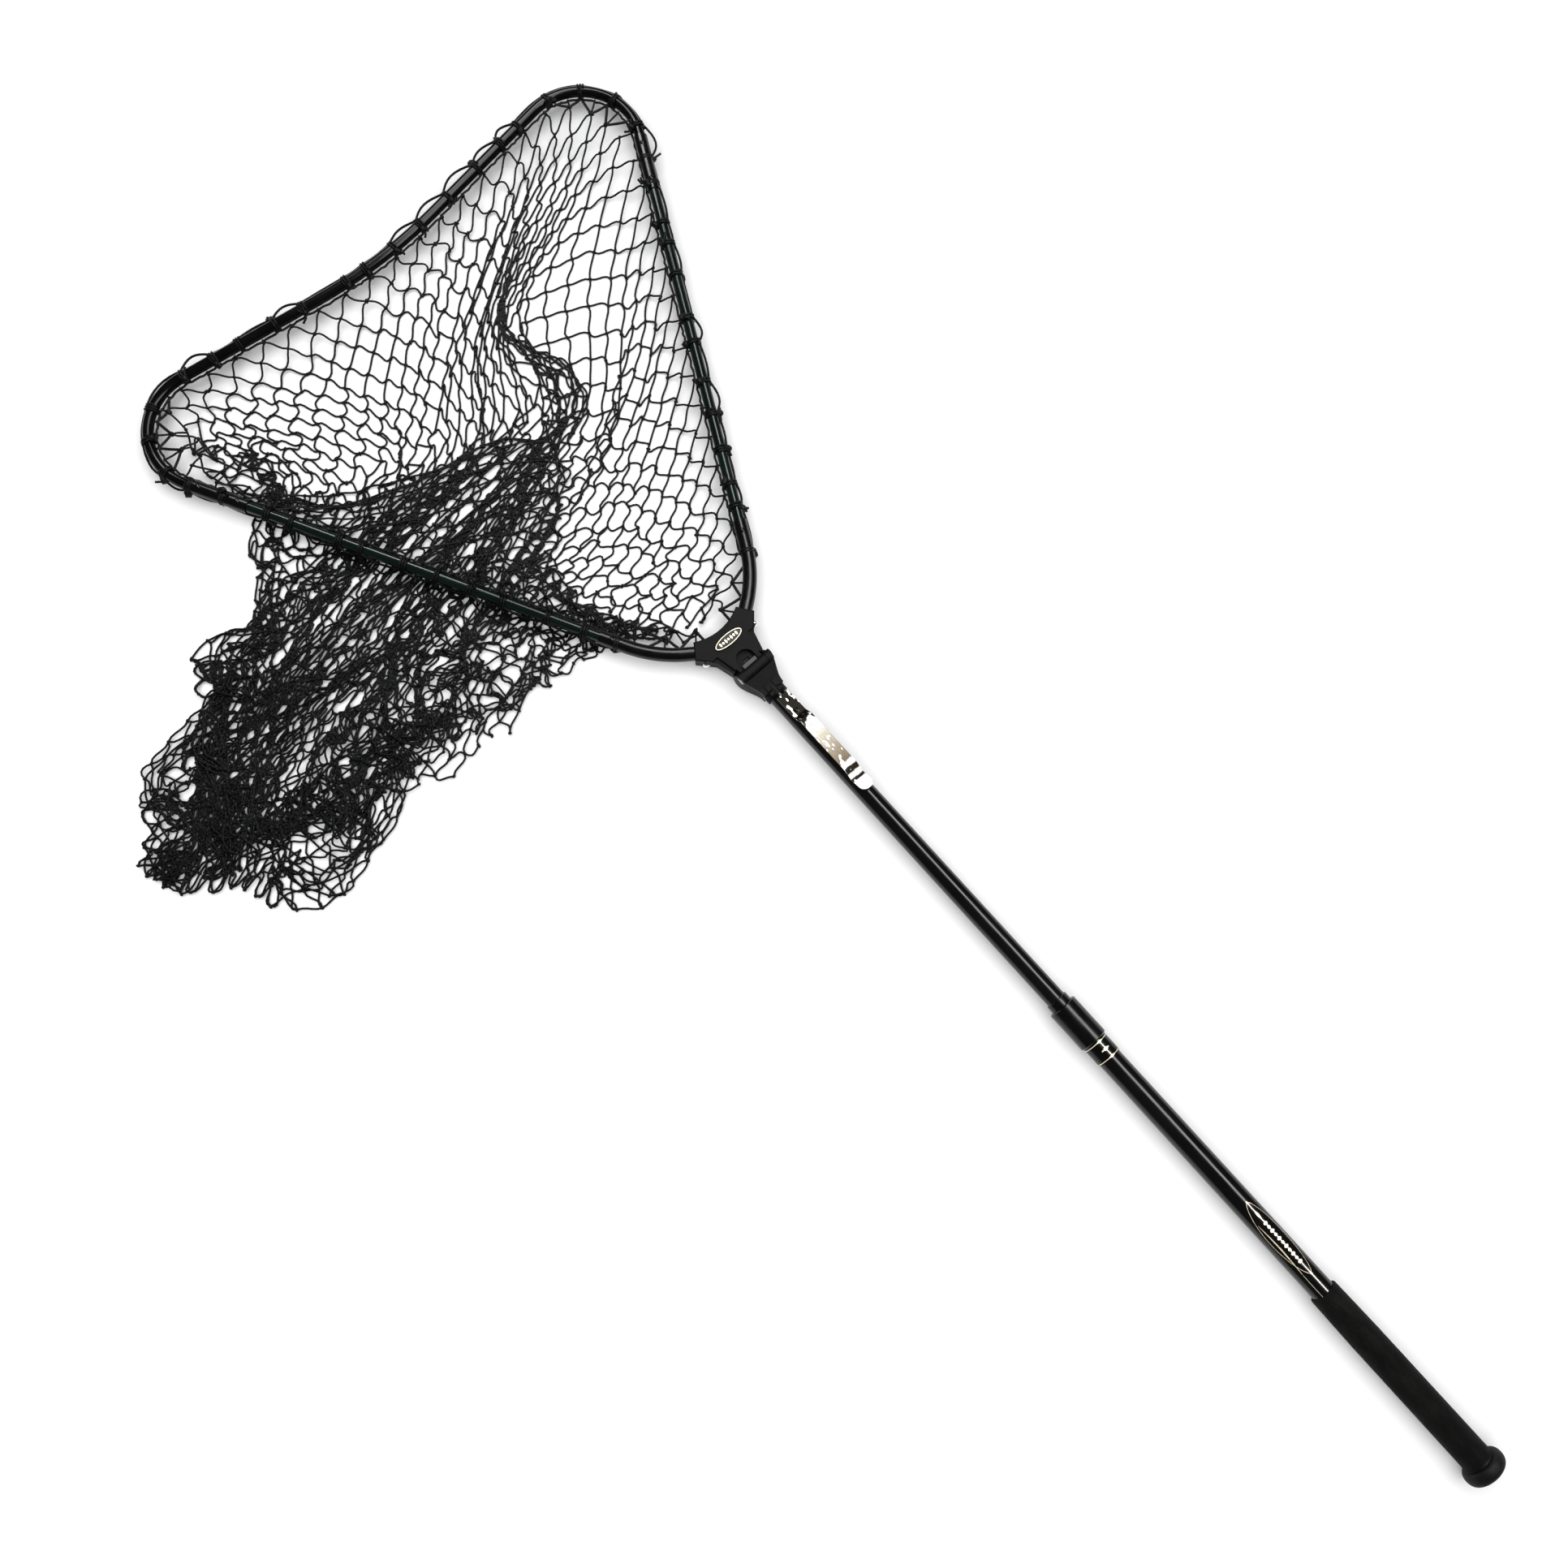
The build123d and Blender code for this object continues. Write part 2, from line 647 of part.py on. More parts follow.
def latch_spring():
    start = web_front - bolt_throw + bolt_length + spring_wire_r
    height = spring_length - 2 * spring_wire_r
    coil = Helix(height / spring_turns, height, spring_r - spring_wire_r)
    wire = sweep(Plane(origin=coil @ 0, z_dir=coil % 0) * Circle(spring_wire_r), coil, is_frenet=True)
    return Location((start, 0, (bolt_bottom + bolt_top) / 2), (0, 90, 0)) * wire


# ---------------------------------------------------------------- netting
def hoop_area(inset):
    """The flat area inside the hoop, drawn in from the tubes' centreline."""
    corners = [elbow_corner, front_corner, bow_vertex, other_side(front_corner), other_side(elbow_corner)]
    line = FilletPolyline(elbow_root, *corners, other_side(elbow_root),
                          radius=[elbow_bend_r, corner_r, bow_middle_r, corner_r, elbow_bend_r])
    face = make_face([*line.edges(), Line(line @ 1, line @ 0)])
    start = net_root_x + inset - net_inset
    front = Pos(start, 0) * Rectangle(bow_vertex_x - start, 2 * bow_vertex_x, align=(Align.MIN, Align.CENTER))
    return offset(face, -inset, kind=Kind.INTERSECTION) & front


def net_bag():
    inside = hoop_area(net_inset)
    layer_top = floor_z + net_layer
    layer = extrude(Pos(0, 0, floor_z) * inside, net_layer)
    rim = inside - hoop_area(net_inset + skirt_wall)
    skirt = extrude(Pos(0, 0, layer_top) * rim, skirt_top - layer_top)
    free = Spline(*[(hinge_x + x, y) for x, y in heap_free_edge])
    hoop_side = Polyline(free @ 1, *[(hinge_x + x, y) for x, y in heap_hoop_edge], free @ 0)
    heap = make_face([free, *hoop_side.edges()])
    heap = fillet(heap.vertices(), heap_corner_r)
    return layer + skirt + extrude(Pos(0, 0, floor_z) * heap, heap_top - floor_z)


def lash_ring(plane, tube_r):
    return plane.location * Torus(tube_r + lash_cord_r + glue_gap, lash_cord_r)


def lashing():
    """Turns of cord round the arms and the front bow, spaced evenly."""
    rings = []
    slope = cos(radians(arm_angle))
    along = Vector(slope, sin(radians(arm_angle)), 0)
    count = int((sleeve_start_x - elbow_end_x) / slope / lash_pitch)
    for i in range(count):
        x = elbow_end_x + (i + 0.5) * lash_pitch * slope
        turn = lash_ring(Plane(origin=arm_point(x), z_dir=along), arm_tube_r)
        rings += [turn, mirrored(turn)]
    bow_start = (sleeve_end_x - sleeve_middle_x) / slope
    count = int((bow_line.length - 2 * bow_start) / lash_pitch)
    for i in range(count):
        at = (bow_start + (i + 0.5) * lash_pitch) / bow_line.length
        rings.append(lash_ring(Plane(origin=bow_line @ at, z_dir=bow_line % at), arm_tube_r))
    return rings


nodes = {
    "butt_cap": butt_cap(),
    "grip": grip(),
    "outer_tube": outer_tube(),
    "decor_band": decor_band(),
    "lock_collar": lock_collar(),
    "collar_bush": collar_bush(),
    "inner_tube": inner_tube(),
    "guide_bush": guide_bush(),
    "expander_screw": expander_screw(),
    "expander_sleeve": expander_sleeve(),
    "expander_cone": expander_cone(),
    "hinge_fork": hinge_fork(),
    "neck_pin": neck_pin(),
    "hinge_pin": hinge_pin(),
    "belt_clip": belt_clip(),
    "clip_rivets": clip_rivets(),
    "elbow_left": elbow(),
    "elbow_right": mirrored(elbow()),
    "arm_tube_left": arm_tube(),
    "arm_tube_right": mirrored(arm_tube()),
    "sleeve_left": sleeve(),
    "sleeve_right": mirrored(sleeve()),
    "front_bow": front_bow(),
    "elbow_rivets": elbow_rivets(),
    "sleeve_rivets": sleeve_rivets(),
    "yoke": yoke(),
    "yoke_bolts": yoke_bolts(),
    "dome_nuts": dome_nuts(),
    "yoke_badge": yoke_badge(),
    "latch_bolt": latch_bolt(),
    "thumb_pad": thumb_pad(),
    "latch_spring": latch_spring(),
    "net_bag": net_bag(),
    "lashing": lashing(),
}

os.makedirs("parts", exist_ok=True)
for name, shape in nodes.items():
    solids = shape if isinstance(shape, list) else shape.solids()
    export_step(Compound([solid for piece in solids for solid in piece.solids()]), f"parts/{name}.step")
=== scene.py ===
import json
import math

import bmesh
import bpy
import numpy as np
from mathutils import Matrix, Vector


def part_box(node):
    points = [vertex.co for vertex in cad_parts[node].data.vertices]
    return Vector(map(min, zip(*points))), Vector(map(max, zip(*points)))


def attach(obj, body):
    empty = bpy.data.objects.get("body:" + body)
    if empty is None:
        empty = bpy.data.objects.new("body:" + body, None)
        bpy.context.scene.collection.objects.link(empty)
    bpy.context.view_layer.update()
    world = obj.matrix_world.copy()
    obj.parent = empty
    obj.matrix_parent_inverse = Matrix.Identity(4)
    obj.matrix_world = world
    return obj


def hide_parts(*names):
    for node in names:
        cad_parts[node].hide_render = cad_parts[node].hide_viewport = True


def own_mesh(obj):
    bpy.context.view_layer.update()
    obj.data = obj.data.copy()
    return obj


# Landing net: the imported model, its finishes, the knotted netting and the lashing round the hoop.
# Metres. X runs along the handle from the butt to the head, Z is up.

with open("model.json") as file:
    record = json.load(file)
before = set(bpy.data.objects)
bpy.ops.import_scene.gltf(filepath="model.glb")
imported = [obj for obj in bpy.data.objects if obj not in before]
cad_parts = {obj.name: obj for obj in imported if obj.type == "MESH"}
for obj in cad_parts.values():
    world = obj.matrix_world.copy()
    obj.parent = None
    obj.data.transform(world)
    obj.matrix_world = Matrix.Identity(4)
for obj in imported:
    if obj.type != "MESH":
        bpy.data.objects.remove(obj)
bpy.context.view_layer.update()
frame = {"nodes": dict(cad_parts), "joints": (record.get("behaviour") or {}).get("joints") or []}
nodes = frame["nodes"]
hinge = Vector(next(j for j in frame["joints"] if j["name"] == "head_fold")["pos_m"])
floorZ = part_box("butt_cap")[0].z
print("frame loaded:", len(nodes), "pieces")


# ---- helpers for node trees

def addNode(tree, kind, inputs=None, **settings):
    made = tree.nodes.new(kind)
    for key, value in settings.items():
        setattr(made, key, value)
    for key, value in (inputs or {}).items():
        if isinstance(value, bpy.types.NodeSocket):
            tree.links.new(value, made.inputs[key])
        else:
            made.inputs[key].default_value = value
    return made


def mathNode(tree, operation, a, b=0.0, c=0.0):
    return addNode(tree, "ShaderNodeMath", {0: a, 1: b, 2: c}, operation=operation).outputs[0]


def startFinish(name, color, roughness, **shaderValues):
    mat = bpy.data.materials.new(name)
    mat.use_nodes = True
    tree = mat.node_tree
    shader = tree.nodes["Principled BSDF"]
    shader.inputs["Base Color"].default_value = (*color, 1)
    shader.inputs["Roughness"].default_value = roughness
    for key, value in shaderValues.items():
        shader.inputs[key].default_value = value
    return mat, tree, shader


def objectPoint(tree, stretch=(1, 1, 1), centre=(0, 0, 0)):
    coord = addNode(tree, "ShaderNodeTexCoord")
    moved = addNode(tree, "ShaderNodeVectorMath", {0: coord.outputs["Object"], 1: centre},
                    operation="SUBTRACT")
    scaled = addNode(tree, "ShaderNodeVectorMath", {0: moved.outputs[0], 1: stretch}, operation="MULTIPLY")
    return scaled.outputs[0]


def noise(tree, point, scale, detail=3.0, roughness=0.55):
    made = addNode(tree, "ShaderNodeTexNoise",
                   {"Vector": point, "Scale": scale, "Detail": detail, "Roughness": roughness})
    return made.outputs["Fac"]


def spread(tree, value, low, high, fromLow=0.3, fromHigh=0.7):
    made = addNode(tree, "ShaderNodeMapRange",
                   {"Value": value, "From Min": fromLow, "From Max": fromHigh,
                    "To Min": low, "To Max": high})
    return made.outputs["Result"]


def tint(tree, value, dark, light, fromLow=0.3, fromHigh=0.7):
    fac = spread(tree, value, 0.0, 1.0, fromLow, fromHigh)
    mixed = addNode(tree, "ShaderNodeMix", {0: fac, 6: (*dark, 1), 7: (*light, 1)}, data_type="RGBA")
    return mixed.outputs[2]


def raiseBumps(tree, shader, height, strength, distance):
    bump = addNode(tree, "ShaderNodeBump", {"Height": height, "Strength": strength, "Distance": distance})
    tree.links.new(bump.outputs["Normal"], shader.inputs["Normal"])


def feed(tree, output, shader, socket):
    tree.links.new(output, shader.inputs[socket])


# ---- finishes

tubeFinish = {
    "black": (0.0012, 0.0012, 0.0013),
    "blackLift": (0.0035, 0.0035, 0.0035),
    "greenBlack": (0.0010, 0.0042, 0.0026),
    "greenLift": (0.0022, 0.0080, 0.0052),
    "bowShine": 0.16,
    "roughness": (0.13, 0.24),
    "drawnLines": (6, 260, 260),
}


def drawnTube(name, color, lift, shine=0.34, values=tubeFinish):
    # anodised or painted tube: fine lines along its length, a little dust and some rubbed patches
    mat, tree, shader = startFinish(name, color, 0.2, **{"Specular IOR Level": shine})
    lines = noise(tree, objectPoint(tree, values["drawnLines"]), 6.0, 2.0)
    patches = noise(tree, objectPoint(tree), 18.0, 5.0, 0.6)
    worn = mathNode(tree, "MULTIPLY", lines, patches)
    feed(tree, spread(tree, worn, *values["roughness"], 0.15, 0.40), shader, "Roughness")
    feed(tree, tint(tree, patches, color, lift, 0.35, 0.85), shader, "Base Color")
    raiseBumps(tree, shader, lines, 0.08, 0.0002)
    return mat


mouldedFinish = {"color": (0.0022, 0.0025, 0.0022), "lift": (0.0045, 0.0053, 0.0043), "grain": 2200.0}
padFinish = {"color": (0.075, 0.079, 0.075), "lift": (0.105, 0.110, 0.104), "grain": 2400.0}


def mouldedPlastic(name="mouldedPlastic", values=mouldedFinish):
    # glass-filled nylon from a spark-eroded mould: an even fine grain with slow cloudy change in gloss
    mat, tree, shader = startFinish(name, values["color"], 0.5, **{"Specular IOR Level": 0.07})
    point = objectPoint(tree)
    grain = noise(tree, point, values["grain"], 2.0)
    clouds = noise(tree, point, 55.0, 4.0)
    feed(tree, tint(tree, clouds, values["color"], values["lift"]), shader, "Base Color")
    feed(tree, spread(tree, clouds, 0.42, 0.58), shader, "Roughness")
    raiseBumps(tree, shader, grain, 0.35, 0.00025)
    return mat


glossFinish = {"color": (0.0012, 0.0012, 0.0012), "roughness": (0.16, 0.30)}


def glossPlastic(values=glossFinish):
    mat, tree, shader = startFinish("glossPlastic", values["color"], 0.2, **{"Specular IOR Level": 0.32})
    point = objectPoint(tree)
    flow = noise(tree, objectPoint(tree, (30, 90, 90)), 1.5, 5.0)
    feed(tree, spread(tree, flow, *values["roughness"]), shader, "Roughness")
    raiseBumps(tree, shader, noise(tree, point, 900.0, 2.0), 0.10, 0.0002)
    return mat


foamFinish = {"color": (0.0010, 0.0010, 0.0009), "lift": (0.0040, 0.0036, 0.0028), "pores": 620.0}


def gripFoam(values=foamFinish):
    # closed-cell foam with small open pores and hand-worn, slightly paler patches
    mat, tree, shader = startFinish("gripFoam", values["color"], 0.85, **{"Specular IOR Level": 0.12,
                                                                        "Sheen Weight": 0.02,
                                                                        "Sheen Roughness": 0.5})
    point = objectPoint(tree)
    cells = addNode(tree, "ShaderNodeTexVoronoi", {"Vector": point, "Scale": values["pores"]})
    patches = noise(tree, objectPoint(tree, (1, 2.2, 2.2)), 38.0, 6.0, 0.65)
    feed(tree, tint(tree, patches, values["color"], values["lift"], 0.42, 0.78), shader, "Base Color")
    feed(tree, spread(tree, patches, 0.93, 0.72), shader, "Roughness")
    raiseBumps(tree, shader, cells.outputs["Distance"], 0.55, 0.0006)
    return mat


capFinish = {"color": (0.0009, 0.0009, 0.0009), "scuffed": (0.0028, 0.0027, 0.0025),
             "roughness": (0.45, 0.75)}


def capRubber(values=capFinish):
    mat, tree, shader = startFinish("capRubber", values["color"], 0.6, **{"Specular IOR Level": 0.2})
    point = objectPoint(tree)
    scuffs = noise(tree, point, 90.0, 6.0, 0.7)
    feed(tree, spread(tree, scuffs, *values["roughness"]), shader, "Roughness")
    feed(tree, tint(tree, scuffs, values["color"], values["scuffed"], 0.45, 0.85), shader, "Base Color")
    raiseBumps(tree, shader, noise(tree, point, 1300.0, 3.0), 0.3, 0.0003)
    return mat


# painted reflections of the bent lip near the free end, then a tarnish fade to bright steel, as (share of
# its length from the free end, color)
clipFinish = {"bright": (0.86, 0.85, 0.82), "darkBase": (0.012, 0.011, 0.009), "roughness": (0.22, 0.34),
              "paintedReflectionsAndTarnish": [(0.115, (0.86, 0.85, 0.82)), (0.125, (0.015, 0.013, 0.010)),
                        (0.145, (0.015, 0.013, 0.010)), (0.155, (0.84, 0.82, 0.78)),
                        (0.185, (0.84, 0.82, 0.78)), (0.195, (0.018, 0.014, 0.010)),
                        (0.235, (0.018, 0.014, 0.010)), (0.245, (0.86, 0.84, 0.79)),
                        (0.270, (0.80, 0.77, 0.70)), (0.290, (0.10, 0.080, 0.055)),
                        (0.400, (0.16, 0.135, 0.10)), (0.560, (0.30, 0.275, 0.23)),
                        (0.720, (0.62, 0.60, 0.56))]}


def bandRamp(tree, place, paintedReflectionsAndTarnish):
    ramp = addNode(tree, "ShaderNodeValToRGB", {0: place})
    for share, color in paintedReflectionsAndTarnish:
        ramp.color_ramp.elements.new(share).color = (*color, 1)
    ramp.color_ramp.elements.remove(ramp.color_ramp.elements[0])
    ramp.color_ramp.elements.remove(ramp.color_ramp.elements[-1])
    return ramp.outputs["Color"]


def polishedSteel(values=clipFinish):
    # spring strip, polished along its length; towards the free end light and dark bands are painted in as
    # reflections of the bent lip, then a brownish tarnish fades to bright steel, and the base end is dark
    mat, tree, shader = startFinish("polishedSteel", values["bright"], 0.16, Metallic=1.0)
    low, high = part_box("belt_clip")
    length = high.x - low.x
    along = objectPoint(tree, (1 / length, 0, 0), (low.x, 0, 0))
    place = addNode(tree, "ShaderNodeSeparateXYZ", {0: along}).outputs["X"]
    clouds = noise(tree, objectPoint(tree), 120.0, 5.0)
    # light and dark bands painted near the free end stand for reflections in the bent lip; past them a
    # brownish tarnish fades to bright steel
    bladeReflectionsAndTarnish = bandRamp(tree, mathNode(tree, "MULTIPLY_ADD", clouds, 0.02, place), values["paintedReflectionsAndTarnish"])
    # towards the base end the colour turns dark, with a cloudy edge; bright flecks are laid over the whole
    # strip
    darkBaseClouds = noise(tree, objectPoint(tree, (1, 1.6, 1)), 95.0, 3.0)
    darkBase = mathNode(tree, "MULTIPLY_ADD", darkBaseClouds, 0.42, place)
    based = addNode(tree, "ShaderNodeMix", {0: spread(tree, darkBase, 0.0, 1.0, 0.90, 0.94), 6: bladeReflectionsAndTarnish,
                                            7: (*values["darkBase"], 1)}, data_type="RGBA")
    flecks = spread(tree, noise(tree, objectPoint(tree, (0.6, 1, 1)), 240.0, 1.0), 0.0, 1.0, 0.60, 0.63)
    flecked = addNode(tree, "ShaderNodeMix", {0: flecks, 6: based.outputs[2], 7: (*values["bright"], 1)},
                      data_type="RGBA")
    feed(tree, flecked.outputs[2], shader, "Base Color")
    lines = noise(tree, objectPoint(tree, (6, 500, 500)), 3.0, 2.0)
    feed(tree, spread(tree, lines, *values["roughness"]), shader, "Roughness")
    raiseBumps(tree, shader, lines, 0.012, 0.00005)
    return mat


def plainSteel(name, color, roughness):
    mat, tree, shader = startFinish(name, color, roughness, Metallic=1.0)
    spots = noise(tree, objectPoint(tree), 420.0, 4.0)
    feed(tree, spread(tree, spots, roughness * 0.7, roughness * 1.5), shader, "Roughness")
    feed(tree, tint(tree, spots, tuple(c * 0.7 for c in color), color, 0.25, 0.5), shader, "Base Color")
    return mat


goldFinish = {"color": (0.80, 0.66, 0.40), "worn": (0.62, 0.48, 0.27), "bright": (0.93, 0.84, 0.64)}


def foilGold(values=goldFinish):
    # hot-foil print: warm cream gold, thin in places
    mat, tree, shader = startFinish("foilGold", values["color"], 0.35, Metallic=0.35)
    wear = noise(tree, objectPoint(tree), 700.0, 5.0)
    feed(tree, tint(tree, wear, values["worn"], values["bright"], 0.35, 0.55), shader, "Base Color")
    return mat


# lay is the length of one full turn of the strands, in cord radii
twineFinish = {"color": (0.0009, 0.0011, 0.0010), "lift": (0.0032, 0.0040, 0.0034),
               "lay": 4.2, "strands": 3}


def twineNylon(name, radius, values=twineFinish):
    # laid nylon: the strands wind round the cord, read from the piece's own "along" and "around"
    mat, tree, shader = startFinish(name, values["color"], 0.5, **{"Specular IOR Level": 0.16})
    along = addNode(tree, "ShaderNodeAttribute", attribute_name="along").outputs["Fac"]
    around = addNode(tree, "ShaderNodeAttribute", attribute_name="around").outputs["Fac"]
    turns = mathNode(tree, "DIVIDE", along, values["lay"] * radius)
    phase = mathNode(tree, "ADD", turns, mathNode(tree, "MULTIPLY", around, values["strands"]))
    ridge = mathNode(tree, "SINE", mathNode(tree, "MULTIPLY", phase, 2 * math.pi))
    fibres = noise(tree, objectPoint(tree), 2600.0, 2.0)
    feed(tree, tint(tree, fibres, values["color"], values["lift"]), shader, "Base Color")
    feed(tree, spread(tree, ridge, 0.62, 0.40, -1.0, 1.0), shader, "Roughness")
    height = mathNode(tree, "MULTIPLY_ADD", fibres, 0.4, ridge)
    raiseBumps(tree, shader, height, 0.45, 0.0003)
    return mat


blackTube = drawnTube("blackTube", tubeFinish["black"], tubeFinish["blackLift"])
greenTube = drawnTube("greenTube", tubeFinish["greenBlack"], tubeFinish["greenLift"])
bowTube = drawnTube("bowTube", tubeFinish["black"], tubeFinish["blackLift"], tubeFinish["bowShine"])
moulded = mouldedPlastic()
gloss = glossPlastic()
steelGrey = plainSteel("steelGrey", (0.34, 0.34, 0.33), 0.32)
blackSteel = plainSteel("blackSteel", (0.02, 0.02, 0.02), 0.5)
chrome = plainSteel("chromePlate", (0.86, 0.86, 0.87), 0.08)
clipSteel = polishedSteel()
gold = foilGold()
padGrey = mouldedPlastic("padGrey", padFinish)

finishOf = {
    "butt_cap": capRubber(), "grip": gripFoam(), "outer_tube": blackTube, "inner_tube": blackTube,
    "decor_band": gloss, "lock_collar": gloss, "collar_bush": gloss, "guide_bush": moulded,
    "expander_screw": steelGrey, "expander_sleeve": moulded, "expander_cone": steelGrey,
    "hinge_fork": moulded, "neck_pin": steelGrey, "hinge_pin": steelGrey, "belt_clip": clipSteel,
    "clip_rivets": clipSteel, "elbow_left": gloss, "elbow_right": gloss, "arm_tube_left": greenTube,
    "arm_tube_right": greenTube, "sleeve_left": gloss, "sleeve_right": gloss, "front_bow": bowTube,
    "elbow_rivets": gloss, "sleeve_rivets": gloss, "yoke": moulded, "yoke_bolts": chrome,
    "dome_nuts": chrome, "yoke_badge": gloss, "latch_bolt": blackSteel, "thumb_pad": padGrey,
    "latch_spring": blackSteel,
}
for name, finish in finishOf.items():
    nodes[name].data.materials.clear()
    nodes[name].data.materials.append(finish)
print("finishes made:", len(set(finishOf.values())))


# ---- camera, floor and light

cameraValues = {"place": (0.7940, 0.2904, 1.5564), "turnDegrees": (11.064, -1.320, -131.783),
                "lens": 33.54, "sensor": 36}
# each lamp as name, place, target, size, power and whether it only draws bright lines on shiny pieces
lightValues = {
    "worldStrength": 0.10, "floorShade": 0.90, "floorHalf": 6.0,
    "lamps": [("longSoftbox", (0.75, -0.79, 2.0), (0.75, 0.0, 0.0), (3.6, 0.70), 84, True),
              ("endSoftbox", (2.6, -0.55, 1.20), (1.0, 0.0, 0.0), (0.7, 0.4), 16, True),
              ("ceiling", (0.9, 0.1, 2.6), (0.9, 0.1, 0.0), (4.5, 4.5), 165, False)],
}


def placeCamera(values=cameraValues):
    data = bpy.data.cameras.new("camera")
    data.lens = values["lens"]
    data.sensor_width = values["sensor"]
    camera = bpy.data.objects.new("camera", data)
    camera.location = values["place"]
    camera.rotation_euler = [math.radians(a) for a in values["turnDegrees"]]
    bpy.context.scene.collection.objects.link(camera)
    bpy.context.scene.camera = camera


def softLight(name, place, target, size, power, shines):
    # the strips that draw the bright lines on the tubes are kept apart from the broad light on the floor
    data = bpy.data.lights.new(name, "AREA")
    data.shape = "RECTANGLE"
    data.size, data.size_y = size
    data.energy = power
    light = bpy.data.objects.new(name, data)
    light.location = place
    light.rotation_euler = (Vector(target) - Vector(place)).to_track_quat("-Z", "Y").to_euler()
    light.visible_glossy = shines
    light.visible_diffuse = not shines
    bpy.context.scene.collection.objects.link(light)


def layFloor(values=lightValues):
    half = values["floorHalf"]
    corners = [(hinge.x + x * half, y * half, floorZ) for x, y in ((-1, -1), (1, -1), (1, 1), (-1, 1))]
    mesh = bpy.data.meshes.new("floor")
    mesh.from_pydata(corners, [], [(0, 1, 2, 3)])
    floor = bpy.data.objects.new("floor", mesh)
    bpy.context.scene.collection.objects.link(floor)
    shade = values["floorShade"]
    mat, tree, shader = startFinish("paleFloor", (shade, shade, shade), 0.9, **{"Specular IOR Level": 0.2})
    mesh.materials.append(mat)


def makeWorld(values=lightValues):
    world = bpy.data.worlds.new("studio")
    world.use_nodes = True
    background = world.node_tree.nodes["Background"]
    background.inputs["Color"].default_value = (1, 1, 1, 1)
    background.inputs["Strength"].default_value = values["worldStrength"]
    bpy.context.scene.world = world
    bpy.context.scene.view_settings.view_transform = "Standard"


placeCamera()
layFloor()
for lamp in lightValues["lamps"]:
    softLight(*lamp)
makeWorld()
print("camera, floor and lights placed")


# ---- the hoop's line, worked out from the tubes' boxes

hoopValues = {"tubeRadius": 0.00635, "armAngle": 27.7, "elbowAngle": 54.0, "cornerRadius": 0.072,
              "bowSweep": 8.25, "bowMiddleRadius": 0.600,
              "tipShare": (0.05, 0.06), "elbowSteps": 12, "cornerSteps": 20, "bowSteps": 6,
              "fineSteps": 600}


def arcPoints(centre, radius, start, end, count):
    angles = np.radians(np.linspace(start, end, count))
    return [(centre[0] + radius * math.cos(a), centre[1] + radius * math.sin(a)) for a in angles]


def leftHoopLine(values=hoopValues):
    # from the yoke out along the left elbow and arm, round the corner to the middle of the bow
    r, angle = values["tubeRadius"], math.radians(values["armAngle"])
    low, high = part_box("arm_tube_left")
    armStart = (low.x + r * math.sin(angle), low.y + r * math.cos(angle))
    armEnd = (high.x - r * math.sin(angle), high.y - r * math.cos(angle))
    low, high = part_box("elbow_left")
    tip = [start + (end - start) * share
           for start, end, share in zip((low.x, low.y), (high.x, high.y), values["tipShare"])]
    bend = math.radians(values["elbowAngle"])
    across = (armStart[1] - tip[1]) - math.tan(angle) * (armStart[0] - tip[0])
    reach = across / (math.tan(bend) - math.tan(angle))
    control = (tip[0] + reach, tip[1] + reach * math.tan(bend))
    elbow = [tuple((1 - t) ** 2 * a + 2 * t * (1 - t) * b + t * t * c
                   for a, b, c in zip(tip, control, armStart))
             for t in np.linspace(0, 1, values["elbowSteps"])]
    low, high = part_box("front_bow")
    big = values["cornerRadius"]
    corner = (high.x - r - big, high.y - r - big)
    sweep = math.radians(values["bowSweep"])
    turn = arcPoints(corner, big, 90 + values["armAngle"], -values["bowSweep"], values["cornerSteps"])
    straightX, straightY = turn[-1]
    vertexX = straightX - straightY * math.tan(sweep)
    middle = values["bowMiddleRadius"]
    centre = (vertexX + middle / math.cos(sweep), 0)
    bow = arcPoints(centre, middle, 180 - values["bowSweep"], 180, values["bowSteps"])
    return elbow + [armEnd] + turn + bow


leftLine = leftHoopLine()
hoopLine = np.array([(x, -y) for x, y in leftLine] + list(reversed(leftLine[:-1])))


def lineAt(points, shares):
    points, shares = np.asarray(points, float), np.asarray(shares, float)
    steps = np.r_[0, np.cumsum(np.linalg.norm(np.diff(points, axis=0), axis=1))]
    places = shares * steps[-1]
    return np.stack([np.interp(places, steps, points[:, k]) for k in range(points.shape[1])], -1)


hoopLength = float(np.linalg.norm(np.diff(hoopLine, axis=0), axis=1).sum())
fineHoop = lineAt(hoopLine, np.linspace(0, 1, hoopValues["fineSteps"]))
fineAlong = np.gradient(fineHoop, axis=0)
fineAlong /= np.linalg.norm(fineAlong, axis=1)[:, None]
fineInward = np.stack([-fineAlong[:, 1], fineAlong[:, 0]], 1)      # towards the inside of the hoop


def onHoop(shares, inward=0.0):
    at = np.clip(np.asarray(shares, float), 0, 1) * (len(fineHoop) - 1)
    base = np.stack([np.interp(at, np.arange(len(fineHoop)), fineHoop[:, k]) for k in (0, 1)], -1)
    side = np.stack([np.interp(at, np.arange(len(fineHoop)), fineInward[:, k]) for k in (0, 1)], -1)
    return base + side * np.asarray(inward)[..., None]


# ---- cord and knot maker, in geometry nodes

